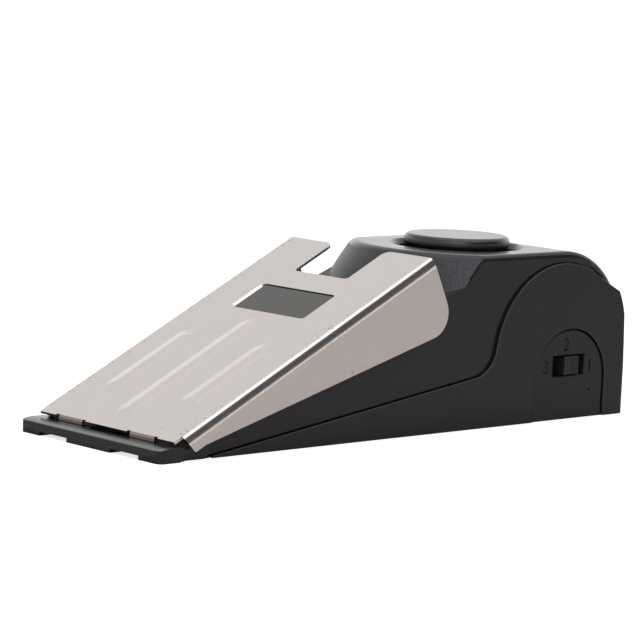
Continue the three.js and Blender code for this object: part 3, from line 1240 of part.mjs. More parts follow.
function batteryDoor() {
  const top = DOOR_BASE_HEIGHT + DOOR_THICKNESS;
  const plan = rectangle(DOOR_START_X, DOOR_END_X, -DOOR_HALF_WIDTH, DOOR_HALF_WIDTH, DOOR_OVERLAP);
  const reach = DOOR_HALF_WIDTH + DOOR_TONGUE_PROUD;
  const tongues = tongueStarts().map((x) => (
    block(x, x + DOOR_TONGUE_LENGTH, -reach, reach, top - DOOR_TONGUE_THICKNESS, top)));
  const ribs = Array.from({ length: DOOR_GRIP_RIBS }, (_, i) => {
    const x = DOOR_START_X + DOOR_GRIP_PITCH * (i + 1);
    return block(
      x,
      x + DOOR_GRIP_WIDTH,
      -DOOR_GRIP_LENGTH / 2,
      DOOR_GRIP_LENGTH / 2,
      0,
      DOOR_BASE_HEIGHT + DOOR_GRIP_DEPTH,
    );
  });
  return cutBy(joined(planPrism(plan, DOOR_BASE_HEIGHT, top), ...tongues), ...ribs);
}

// Lead from the snap up to the main board
function batteryLead(side) {
  const y = side * LEAD_Y;
  const startX = SNAP_END_X + FIT_GAP;
  const endZ = MAIN_BOARD_HEIGHT - FIT_GAP;
  const upX = startX + LEAD_BEND;
  return tube([
    [startX, y, BATTERY_MIDDLE_HEIGHT],
    [startX + LEAD_BEND / 2, y, BATTERY_MIDDLE_HEIGHT],
    [upX, y, BATTERY_MIDDLE_HEIGHT + LEAD_BEND / 2],
    [upX, y, endZ - LEAD_BEND / 2],
    [upX, y, endZ],
  ], WIRE_RADIUS, WIRE_SIDES, 2);
}

function piezoLead(side) {
  const x = SIREN_X - PIEZO_CERAMIC_RADIUS / 2;
  const y = side * PIEZO_LEAD_Y;
  const top = DISC_BASE - PIEZO_CERAMIC_THICKNESS - FIT_GAP;
  return tube(
    [[x, y, top], [x, y, (top + BOARD_TOP) / 2], [x, y, BOARD_TOP + FIT_GAP]],
    PIEZO_WIRE_RADIUS,
    WIRE_SIDES,
    2,
  );
}

// Lead from the press switch's board, back past the battery and up to the main board
function switchLead(side) {
  const slope = radians(PLATE_SLOPE_DEG);
  const depth = (SWITCH_BOARD_TOP_DEPTH + SWITCH_BOARD_BASE_DEPTH) / 2;
  const startX = PLATE_FRONT_X + PLUNGER_S * Math.cos(slope) + depth * Math.sin(slope);
  const startZ = PLATE_FRONT_HEIGHT + PLUNGER_S * Math.sin(slope) - depth * Math.cos(slope);
  const startY = SWITCH_BOARD_HALF_WIDTH + FIT_GAP;
  const runY = (BAY_HALF_WIDTH + CRADLE_WALL + SHELL_INNER_HALF) / 2;
  const upX = BOARD_POST_FRONT_X + SWITCH_LEAD_BEND;
  const endZ = MAIN_BOARD_HEIGHT - FIT_GAP;
  const route = [
    [startX, startY, startZ],
    [startX + SWITCH_LEAD_BEND / 4, (startY + runY) / 2, startZ],
    [startX + SWITCH_LEAD_BEND, runY, startZ],
    [BATTERY_START_X, runY, startZ],
    [(BATTERY_START_X + upX) / 2, runY, startZ],
    [upX - SWITCH_LEAD_BEND, runY, startZ],
    [upX, runY, startZ + SWITCH_LEAD_BEND],
    [upX, runY, endZ - SWITCH_LEAD_BEND],
    [upX, runY, endZ],
  ];
  return tube(route.map(([x, y, z]) => [x, side * y, z]), WIRE_RADIUS, WIRE_SIDES, 3);
}

const padSolid = (pad) => planPrism(padPlan(pad, 0), 0, PAD_THICKNESS);

const finishes = {
  black_shell: { color: 0x2c2a2b, roughness: 0.45, metalness: 0 },
  switch_black: { color: 0x1c1b1c, roughness: 0.4, metalness: 0 },
  steel: { color: 0xcfc8c3, roughness: 0.3, metalness: 0.9 },
  spring_steel: { color: 0x9a9a9c, roughness: 0.35, metalness: 0.9 },
  white_plastic: { color: 0xd8d5cc, roughness: 0.5, metalness: 0 },
  brass: { color: 0xc9a557, roughness: 0.35, metalness: 0.9 },
  ceramic: { color: 0xe6e2d8, roughness: 0.6, metalness: 0 },
  board: { color: 0x2f6b3c, roughness: 0.55, metalness: 0 },
  rubber: { color: 0x202020, roughness: 0.9, metalness: 0 },
  battery_skin: { color: 0x3a4a66, roughness: 0.4, metalness: 0.2 },
  copper: { color: 0xb3683a, roughness: 0.4, metalness: 0.8 },
  red_wire: { color: 0xb02020, roughness: 0.5, metalness: 0 },
  black_wire: { color: 0x181818, roughness: 0.5, metalness: 0 },
};

const near = -1;
const far = 1;
const pieces = [
  ['upper_housing', 'black_shell', upperHousing()],
  ['lower_housing', 'black_shell', lowerHousing()],
  ['press_plate', 'steel', pressPlate()],
  ['window_pane', 'switch_black', windowPane()],
  ['plate_plunger', 'white_plastic', platePlunger()],
  ['return_spring', 'spring_steel', returnSpring()],
  ['press_switch', 'switch_black', pressSwitch()],
  ['press_switch_board', 'board', pressSwitchBoard()],
  ['siren_cap', 'black_shell', sirenCap()],
  ['siren_neck', 'black_shell', sirenNeck()],
  ['siren_chamber', 'switch_black', sirenChamber()],
  ['piezo_disc', 'brass', piezoDisc()],
  ['piezo_ceramic', 'ceramic', piezoCeramic()],
  ['piezo_gasket', 'rubber', piezoGasket()],
  ['main_board', 'board', mainBoard()],
  ['driver_chip', 'switch_black', driverChip()],
  ['boost_coil', 'copper', boostCoil()],
  ['capacitor', 'battery_skin', capacitor()],
  ['drive_transistor', 'switch_black', driveTransistor()],
  ['vibration_sensor', 'spring_steel', vibrationSensor()],
  ['sensitivity_panel', 'black_shell', switchPanel(near)],
  ['sensitivity_knob', 'switch_black', slideKnob(near, 0)],
  ['sensitivity_switch', 'spring_steel', slideSwitch(near)],
  ['sensitivity_board', 'board', sideBoard(near)],
  ['power_panel', 'black_shell', switchPanel(far)],
  ['power_knob', 'switch_black', slideKnob(far, -SLIDER_TRAVEL)],
  ['power_switch', 'spring_steel', slideSwitch(far)],
  ['power_board', 'board', sideBoard(far)],
  ['battery', 'battery_skin', battery()],
  ['battery_terminal_positive', 'spring_steel', batteryTerminal(far, TERMINAL_PLUS_RADIUS)],
  ['battery_terminal_negative', 'spring_steel', batteryTerminal(near, TERMINAL_MINUS_RADIUS)],
  ['battery_snap', 'switch_black', batterySnap()],
  ['battery_lead_red', 'red_wire', batteryLead(far)],
  ['battery_lead_black', 'black_wire', batteryLead(near)],
  ['piezo_lead_red', 'red_wire', piezoLead(far)],
  ['piezo_lead_black', 'black_wire', piezoLead(near)],
  ['switch_lead_red', 'red_wire', switchLead(far)],
  ['switch_lead_black', 'black_wire', switchLead(near)],
  ['battery_door', 'black_shell', batteryDoor()],
  ['front_rubber_pad', 'rubber', padSolid(padPlans.front)],
  ['rear_rubber_pad', 'rubber', padSolid(padPlans.rear)],
  ...sides.map((side, i) => [`switch_board_screw_${i + 1}`, 'spring_steel', switchBoardScrew(side)]),
  ...boardPosts.map((place, i) => [`board_screw_${i + 1}`, 'spring_steel', boardScrew(place)]),
  ...housingPosts.map((place, i) => [`housing_screw_${i + 1}`, 'spring_steel', housingScrew(place)]),
];

const doorStopAlarm = new THREE.Group();
doorStopAlarm.position.x = -LENGTH / 2;
for (const [name, finish, piece] of pieces) {
  const mesh = new THREE.Mesh(geometryOf(piece), new THREE.MeshStandardMaterial(finishes[finish]));
  mesh.name = name;
  doorStopAlarm.add(mesh);
}
console.log(`Least gap between curls of the return spring: ${leastSpringGap().toFixed(2)} mm`);

export default doorStopAlarm;
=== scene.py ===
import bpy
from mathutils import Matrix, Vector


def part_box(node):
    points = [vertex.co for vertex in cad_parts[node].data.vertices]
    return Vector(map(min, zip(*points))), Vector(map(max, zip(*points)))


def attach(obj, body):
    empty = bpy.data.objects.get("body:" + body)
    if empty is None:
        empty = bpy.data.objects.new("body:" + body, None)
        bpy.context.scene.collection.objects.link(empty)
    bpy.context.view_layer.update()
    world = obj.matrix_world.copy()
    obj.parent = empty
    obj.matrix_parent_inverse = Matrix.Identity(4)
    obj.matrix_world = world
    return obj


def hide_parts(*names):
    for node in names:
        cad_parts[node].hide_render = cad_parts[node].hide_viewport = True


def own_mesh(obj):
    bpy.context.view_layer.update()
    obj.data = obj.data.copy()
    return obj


bl_info = {
    "name": "Door stop alarm",
    "version": (1, 0, 0),
    "blender": (4, 5, 0),
    "location": "View3D > Sidebar > Door stop",
    "description": "Dresses the packed door stop alarm: shells, press plate, siren cap and switches",
    "category": "Object",
}

import math

import bmesh
import bpy
from bpy.props import FloatProperty, FloatVectorProperty, PointerProperty
from mathutils import Matrix, Vector

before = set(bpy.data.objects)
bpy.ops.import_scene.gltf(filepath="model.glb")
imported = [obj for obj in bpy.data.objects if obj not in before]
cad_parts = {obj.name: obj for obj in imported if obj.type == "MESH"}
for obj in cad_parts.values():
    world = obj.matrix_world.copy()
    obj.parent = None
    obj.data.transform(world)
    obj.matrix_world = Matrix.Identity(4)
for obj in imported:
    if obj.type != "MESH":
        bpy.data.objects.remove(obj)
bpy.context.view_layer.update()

MM = 0.001
HALF_LENGTH = 72.5


def metres(x, y, z):
    """A point in metres from millimetres; x counts from the front edge of the toe."""
    return Vector(((x - HALF_LENGTH) * MM, y * MM, z * MM))


# Selecting and editing

def deselect():
    if bpy.context.object and bpy.context.object.mode != "OBJECT":
        bpy.ops.object.mode_set(mode="OBJECT")
    bpy.ops.object.select_all(action="DESELECT")


def make_active(piece):
    deselect()
    piece.select_set(True)
    bpy.context.view_layer.objects.active = piece


def edit(piece, mode="VERT"):
    make_active(piece)
    bpy.ops.object.mode_set(mode="EDIT")
    bpy.ops.mesh.select_mode(type=mode)
    bpy.ops.mesh.select_all(action="DESELECT")


def edit_all(piece):
    edit(piece)
    bpy.ops.mesh.select_all(action="SELECT")


def pick(piece, kind, test):
    """Selects the vertices, edges or faces that pass a test, in edit mode."""
    mesh = bmesh.from_edit_mesh(piece.data)
    for item in getattr(mesh, kind):
        item.select_set(bool(test(item)))
    mesh.select_flush_mode()
    bmesh.update_edit_mesh(piece.data)


def leave_edit():
    bpy.ops.object.mode_set(mode="OBJECT")


def close_seams(piece):
    """Merges doubled vertices and turns the faces outwards."""
    edit_all(piece)
    bpy.ops.mesh.remove_doubles(threshold=0.000001)
    bpy.ops.mesh.normals_make_consistent(inside=False)
    leave_edit()


def named(name):
    piece = bpy.context.object
    piece.name = name
    piece.data.name = name
    return piece


def apply_place(piece):
    make_active(piece)
    bpy.ops.object.transform_apply(location=True, rotation=True, scale=True)
    return piece


def apply_modifier(piece, kind, **values):
    make_active(piece)
    modifier = piece.modifiers.new(kind.title(), kind)
    for key, value in values.items():
        setattr(modifier, key, value)
    bpy.ops.object.modifier_apply(modifier=modifier.name)


def smooth(piece, degrees=30.0):
    make_active(piece)
    bpy.ops.object.shade_smooth_by_angle(angle=math.radians(degrees))


def weighted(piece):
    smooth(piece)
    apply_modifier(piece, "WEIGHTED_NORMAL", keep_sharp=True, weight=100)


def bevel_edges(piece, test, width, segments=4, clamp=True):
    edit(piece, "EDGE")
    pick(piece, "edges", test)
    bpy.ops.mesh.bevel(offset=width * MM, segments=segments, affect="EDGES", clamp_overlap=clamp)
    leave_edit()


def steep(edge, degrees=25.0):
    """Whether an edge between two faces bends by more than some degrees."""
    return len(edge.link_faces) == 2 and abs(math.degrees(edge.calc_face_angle_signed(0.0))) > degrees


def upright_edge(edge):
    return abs(edge.verts[0].co.z - edge.verts[1].co.z) > 0.0005


def level_edge(edge, tolerance):
    """Whether both ends of an edge lie equally far across the object."""
    return abs(edge.verts[0].co.y - edge.verts[1].co.y) < tolerance


def copy_of(node, name):
    """A piece that starts as a merged copy of a CAD node's mesh, with its flat areas joined."""
    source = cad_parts[node]
    mesh = source.data.copy()
    mesh.materials.clear()
    piece = bpy.data.objects.new(name, mesh)
    bpy.context.scene.collection.objects.link(piece)
    mesh.name = name
    edit_all(piece)
    bpy.ops.mesh.remove_doubles(threshold=0.00002)
    bpy.ops.mesh.dissolve_limited(angle_limit=math.radians(0.6), delimit=set())
    leave_edit()
    return piece


def outline_prism(name, points, axis, low, high):
    """An outline in millimetres, pushed along an axis. Points are (x, z) for Y, (x, y) for Z."""
    deselect()
    bpy.ops.mesh.primitive_circle_add(vertices=len(points), radius=0.01, fill_type="NGON")
    piece = named(name)
    for vertex, (u, v) in zip(piece.data.vertices, points):
        vertex.co = metres(u, low, v) if axis == "Y" else metres(u, v, low)
    edit(piece, "FACE")
    bpy.ops.mesh.select_all(action="SELECT")
    step = Vector((0, high - low, 0)) if axis == "Y" else Vector((0, 0, high - low))
    bpy.ops.mesh.extrude_region_move(TRANSFORM_OT_translate={"value": step * MM})
    bpy.ops.mesh.select_all(action="SELECT")
    bpy.ops.mesh.normals_make_consistent(inside=False)
    leave_edit()
    return piece


def box_piece(name, low, high):
    """A box between two corners in millimetres."""
    centre, size = (metres(*low) + metres(*high)) / 2, metres(*high) - metres(*low)
    deselect()
    bpy.ops.mesh.primitive_cube_add(size=1, location=centre)
    piece = named(name)
    piece.scale = size
    return apply_place(piece)


def drum_piece(name, x, y, radius, low, high, vertices):
    """An upright cylinder between two heights, in millimetres."""
    deselect()
    bpy.ops.mesh.primitive_cylinder_add(
        vertices=vertices, radius=radius * MM, depth=(high - low) * MM,
        location=metres(x, y, (low + high) / 2),
    )
    return apply_place(named(name))


def arc_points(x, y, radius, start, end, steps):
    return [
        (x + radius * math.cos(math.radians(start + (end - start) * i / steps)),
         y + radius * math.sin(math.radians(start + (end - start) * i / steps)))
        for i in range(steps + 1)
    ]


def rounded_rectangle(low_x, high_x, low_y, high_y, radius, steps=6):
    points = []
    for x, y, start in (
        (high_x - radius, high_y - radius, 0), (low_x + radius, high_y - radius, 90),
        (low_x + radius, low_y + radius, 180), (high_x - radius, low_y + radius, 270),
    ):
        points += arc_points(x, y, radius, start, start + 90, steps)
    return points


def cut_all(piece, cutters):
    """Takes several cutters from a piece in one boolean, and removes them."""
    bin_ = bpy.data.collections.new("cutters")
    bpy.context.scene.collection.children.link(bin_)
    for cutter in cutters:
        bin_.objects.link(cutter)
    apply_modifier(
        piece, "BOOLEAN", operation="DIFFERENCE", solver="EXACT",
        operand_type="COLLECTION", collection=bin_, use_self=False,
    )
    for cutter in cutters:
        mesh = cutter.data
        bpy.data.objects.remove(cutter)
        bpy.data.meshes.remove(mesh)
    bpy.data.collections.remove(bin_)


def spot(item):
    """The place of a vertex or of an edge's or face's middle, in millimetres from the front of the toe."""
    corners = [item] if hasattr(item, "co") else item.verts
    place = sum((corner.co for corner in corners), Vector()) / len(corners)
    return place.x / MM + HALF_LENGTH, place.y / MM, place.z / MM


def dress(piece, body, nodes, finish):
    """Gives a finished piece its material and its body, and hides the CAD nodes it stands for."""
    piece.data.materials.clear()
    piece.data.materials.append(finish)
    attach(piece, body)
    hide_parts(*nodes)


# Settings that a user would change

def distance(name, description, millimetres):
    return FloatProperty(
        name=name, description=description, default=millimetres * MM, min=0.0,
        precision=5, subtype="DISTANCE", unit="LENGTH",
    )


def turn(name, description, degrees):
    return FloatProperty(
        name=name, description=description, default=math.radians(degrees),
        subtype="ANGLE", unit="ROTATION",
    )


def tint(name, description, colour):
    return FloatVectorProperty(
        name=name, description=description, default=colour, size=3, min=0.0, max=1.0, subtype="COLOR",
    )


class PlateSettings(bpy.types.PropertyGroup):
    length: distance("Length", "Length of the sheet along its slope", 80.5)
    half_width: distance("Half width", "Half of the width over the folded sides", 23.7)
    sheet: distance("Sheet", "Thickness of the sheet", 0.6)
    fold: distance("Fold", "Outer radius of the folded sides", 0.9)
    lower_fold: distance("Lower fold", "Outer radius of the last third of the folded sides", 4.0)
    tab_fold: distance("Tab fold", "Outer radius of the hinge tabs' bend", 0.66)
    slope: turn("Slope", "Slope of the plate at rest", 26.2)
    bead_height: distance("Bead height", "Rise of the pressed beads", 0.42)
    bead_spread: distance("Bead spread", "How far a bead spreads to each side", 3.8)
    edge: distance("Edge", "Rounding of the sheet's cut edges", 0.18)
    window_lip: distance("Window lip", "Width of the slope along the window's left edge", 0.5)
    colour: tint("Colour", "Colour of the rolled sheet", (0.7, 0.648, 0.625))


class ShellSettings(bpy.types.PropertyGroup):
    rim: distance("Rim", "Rounding of the hump's top rim", 1.6)
    well: distance("Well", "Rounding of the siren well's rim", 1.5)
    foot: distance("Foot", "Fillet at the foot of the hump", 1.4)
    corner: distance("Corner", "Rounding of the hump's front corners", 0.4)
    parting: distance("Parting line", "Rounding of the skirt's edge", 0.55)
    toe: distance("Toe", "Rounding of the toe's edges", 0.5)
    colour: tint("Colour", "Colour of the moulded shells", (0.0172, 0.0157, 0.019))


class SwitchSettings(bpy.types.PropertyGroup):
    panel_edge: distance("Panel edge", "Rounding of the arched panels' edges", 0.2)
    knob_edge: distance("Knob edge", "Rounding of the slide knobs", 0.25)
    mark_depth: distance("Mark depth", "Depth of the engraved numbers", 0.3)
    mark_height: distance("Mark height", "Height of the engraved numbers", 3.0)


class SirenSettings(bpy.types.PropertyGroup):
    cap_radius: distance("Cap radius", "Radius of the siren cap", 12.3)
    cap_round: distance("Cap rounding", "Rounding of the cap's upper edge", 1.25)
    colour: tint("Colour", "Colour of the siren cap", (0.022, 0.0195, 0.019))


class StageSettings(bpy.types.PropertyGroup):
    key_power: FloatProperty(
        name="Overhead light", description="Power of the large light overhead",
        default=2.6, min=0.0, subtype="POWER", unit="POWER",
    )
    fill_power: FloatProperty(
        name="Side light", description="Power of the light from the left",
        default=0.6, min=0.0, subtype="POWER", unit="POWER",
    )
    even_light: FloatProperty(
        name="Even light", description="Strength of the light from all round", default=0.5, min=0.0,
        subtype="FACTOR",
    )
    backdrop: tint("Backdrop", "Colour of the floor and the backdrop", (0.63, 0.6, 0.585))


class DoorStopSettings(bpy.types.PropertyGroup):
    plate: PointerProperty(type=PlateSettings)
    shell: PointerProperty(type=ShellSettings)
    switch: PointerProperty(type=SwitchSettings)
    siren: PointerProperty(type=SirenSettings)
    stage: PointerProperty(type=StageSettings)


class Sizes:
    """The values of a settings group, with lengths in millimetres and angles in degrees."""

    def __init__(self, group):
        for name in group.bl_rna.properties.keys():
            kind = getattr(group.bl_rna.properties[name], "subtype", "")
            value = getattr(group, name)
            if kind == "DISTANCE":
                value = value / MM
            elif kind == "ANGLE":
                value = math.degrees(value)
            elif kind == "COLOR":
                value = tuple(value)
            setattr(self, name, value)


def sizes(part):
    return Sizes(getattr(bpy.context.scene.door_stop, part))


# Shader node groups

def wire(tree, start, end):
    tree.links.new(start, end)


def add_node(tree, kind, **values):
    """A shader node; keys that aren't its own fields are the names of its input sockets."""
    node = tree.nodes.new(kind)
    for key, value in values.items():
        if hasattr(node, key):
            setattr(node, key, value)
        else:
            node.inputs[key.replace("_", " ").title()].default_value = value
    return node


def ramp(tree, value, start, full, low=0.0, high=1.0):
    """Maps a value to another range: low at start, high at full, and held beyond them."""
    node = tree.nodes.new("ShaderNodeMapRange")
    for label, number in (("From Min", start), ("From Max", full), ("To Min", low), ("To Max", high)):
        node.inputs[label].default_value = number
    wire(tree, value, node.inputs["Value"])
    return node.outputs["Result"]


def calculate(tree, operation, *values):
    """One step of arithmetic on sockets or plain numbers."""
    node = tree.nodes.new("ShaderNodeMath")
    node.operation = operation
    for socket, value in zip(node.inputs, values):
        if isinstance(value, bpy.types.NodeSocket):
            wire(tree, value, socket)
        else:
            socket.default_value = value
    return node.outputs["Value"]


def chain(tree, operation, values):
    """Joins two or more sockets one after the other by the same operation."""
    total, *others = values
    for other in others:
        total = calculate(tree, operation, total, other)
    return total


def blend(tree, factor, first, second):
    """A colour between two, which are sockets or plain colours."""
    node = tree.nodes.new("ShaderNodeMix")
    node.data_type = "RGBA"
    wire(tree, factor, node.inputs["Factor"])
    for socket, colour in ((node.inputs[6], first), (node.inputs[7], second)):
        if isinstance(colour, bpy.types.NodeSocket):
            wire(tree, colour, socket)
        else:
            socket.default_value = colour
    return node.outputs[2]


FLOAT, COLOUR, VECTOR = "NodeSocketFloat", "NodeSocketColor", "NodeSocketVector"


def open_group(name, inputs):
    """A new surface group with its inputs, and the three outputs that every surface has."""
    group = bpy.data.node_groups.new(name, "ShaderNodeTree")
    for label, kind, default in inputs:
        socket = group.interface.new_socket(name=label, in_out="INPUT", socket_type=kind)
        if default is not None:
            socket.default_value = default
    for label, kind in (("Colour", COLOUR), ("Roughness", FLOAT), ("Height", FLOAT)):
        group.interface.new_socket(name=label, in_out="OUTPUT", socket_type=kind)
    return group, group.nodes.new("NodeGroupInput").outputs, group.nodes.new("NodeGroupOutput").inputs


def moulded_group():
    """Spark-eroded plastic: fine grain, dust flecks and the dull patches that handling leaves."""
    group, given, result = open_group("Moulded surface", [
        ("Vector", VECTOR, None),
        ("Colour", COLOUR, (0.02, 0.02, 0.02, 1)), ("Fleck", COLOUR, (0.1, 0.1, 0.1, 1)),
        ("Grain", FLOAT, 2600.0), ("Roughness", FLOAT, 0.4), ("Wear", FLOAT, 0.5), ("Speckle", FLOAT, 0.0),
    ])
    grain = add_node(group, "ShaderNodeTexNoise", detail=3.0, roughness=0.6)
    patches = add_node(group, "ShaderNodeTexNoise", scale=45.0, detail=4.0, roughness=0.55)
    flecks = add_node(group, "ShaderNodeTexVoronoi", scale=900.0)
    for node in (grain, patches, flecks):
        wire(group, given["Vector"], node.inputs["Vector"])
    wire(group, given["Grain"], grain.inputs["Scale"])
    is_fleck = ramp(group, flecks.outputs["Distance"], 0.16, 0.08)
    where_rare = ramp(group, patches.outputs["Fac"], 0.52, 0.72)
    worn = chain(group, "MULTIPLY", (is_fleck, where_rare, given["Wear"]))
    crest = ramp(group, grain.outputs["Fac"], 0.5, 0.68)
    speckled = calculate(group, "MULTIPLY", crest, given["Speckle"])
    marked = calculate(group, "MAXIMUM", worn, speckled)
    wire(group, blend(group, marked, given["Colour"], given["Fleck"]), result["Colour"])
    swing = ramp(group, patches.outputs["Fac"], 0.0, 1.0, -0.06, 0.06)
    dull = calculate(group, "MULTIPLY_ADD", swing, given["Wear"], given["Roughness"])
    wire(group, dull, result["Roughness"])
    wire(group, grain.outputs["Fac"], result["Height"])


# Distances from the middle of the plate, in metres, between which the fold's specks come in and end
FOLD_SPECKS = ((0.0202, 0.0218), (0.0231, 0.0226))


def rolled_group():
    """Rolled or drawn metal: long fine streaks, small spots of tarnish and specks along a fold."""
    group, given, result = open_group("Rolled metal", [
        ("Vector", VECTOR, None),
        ("Colour", COLOUR, (0.6, 0.6, 0.6, 1)), ("Tarnish", COLOUR, (0.3, 0.2, 0.1, 1)),
        ("Roughness", FLOAT, 0.3), ("Streak", FLOAT, 0.1), ("Spots", FLOAT, 0.3), ("Fold spots", FLOAT, 0.0),
    ])
    drawn = add_node(group, "ShaderNodeMapping")
    drawn.inputs["Scale"].default_value = (0.06, 1.0, 1.0)
    streaks = add_node(group, "ShaderNodeTexNoise", scale=1900.0, detail=4.0, roughness=0.65)
    clouds = add_node(group, "ShaderNodeTexNoise", scale=70.0, detail=5.0, roughness=0.6)
    specks = add_node(group, "ShaderNodeTexVoronoi", scale=700.0)
    fine = add_node(group, "ShaderNodeTexVoronoi", scale=1100.0)
    place = add_node(group, "ShaderNodeSeparateXYZ")
    for node in (drawn, clouds, specks, fine, place):
        wire(group, given["Vector"], node.inputs["Vector"])
    wire(group, drawn.outputs["Vector"], streaks.inputs["Vector"])
    is_spot = ramp(group, specks.outputs["Distance"], 0.2, 0.1)
    where_few = ramp(group, clouds.outputs["Fac"], 0.56, 0.7)
    spots = chain(group, "MULTIPLY", (is_spot, where_few, given["Spots"]))
    across = calculate(group, "ABSOLUTE", place.outputs["Y"])
    is_dot = ramp(group, fine.outputs["Distance"], 0.26, 0.14)
    at_fold = [ramp(group, across, start, full) for start, full in FOLD_SPECKS]
    where_many = ramp(group, clouds.outputs["Fac"], 0.42, 0.52)
    fold_spots = chain(group, "MULTIPLY", (is_dot, *at_fold, where_many, given["Fold spots"]))
    tarnished = calculate(group, "MAXIMUM", spots, fold_spots)
    toned = add_node(group, "ShaderNodeVectorMath", operation="SCALE")
    wire(group, given["Colour"], toned.inputs[0])
    wire(group, ramp(group, streaks.outputs["Fac"], 0.0, 1.0, 0.93, 1.06), toned.inputs["Scale"])
    wire(group, blend(group, tarnished, toned.outputs["Vector"], given["Tarnish"]), result["Colour"])
    level = calculate(group, "SUBTRACT", streaks.outputs["Fac"], 0.5)
    rough = calculate(group, "MULTIPLY_ADD", level, given["Streak"], given["Roughness"])
    wire(group, rough, result["Roughness"])
    wire(group, streaks.outputs["Fac"], result["Height"])


# Materials

def surface_material(name, group, values, metallic=0.0, specular=0.5, coat=0.0, bump=0.1, depth=0.00002):
    """A material whose colour, roughness and bump come from one of the two surface groups."""
    material = bpy.data.materials.new(name)
    material.use_nodes = True
    tree = material.node_tree
    shader = tree.nodes["Principled BSDF"]
    shader.inputs["Metallic"].default_value = metallic
    shader.inputs["Specular IOR Level"].default_value = specular
    shader.inputs["Coat Weight"].default_value = coat
    shader.inputs["Coat Roughness"].default_value = 0.2
    place = tree.nodes.new("ShaderNodeTexCoord")
    surface = tree.nodes.new("ShaderNodeGroup")
    surface.node_tree = bpy.data.node_groups[group]
    wire(tree, place.outputs["Object"], surface.inputs["Vector"])
    for label, value in values.items():
        if isinstance(value, tuple):
            value = (*value, 1.0)
        surface.inputs[label].default_value = value
    relief = tree.nodes.new("ShaderNodeBump")
    relief.inputs["Strength"].default_value = bump
    relief.inputs["Distance"].default_value = depth
    wire(tree, surface.outputs["Colour"], shader.inputs["Base Color"])
    wire(tree, surface.outputs["Roughness"], shader.inputs["Roughness"])
    wire(tree, surface.outputs["Height"], relief.inputs["Height"])
    wire(tree, relief.outputs["Normal"], shader.inputs["Normal"])


def moulded(name, colour, fleck, roughness, grain, wear, speckle=0.0, **shader):
    surface_material(name, "Moulded surface", {
        "Colour": colour, "Fleck": fleck, "Grain": grain, "Roughness": roughness, "Wear": wear,
        "Speckle": speckle,
    }, **shader)


def rolled(name, colour, tarnish, roughness, streak, spots, fold_spots=0.0, **shader):
    surface_material(name, "Rolled metal", {
        "Colour": colour, "Tarnish": tarnish, "Roughness": roughness, "Streak": streak, "Spots": spots,
        "Fold spots": fold_spots,
    }, metallic=1.0, **shader)


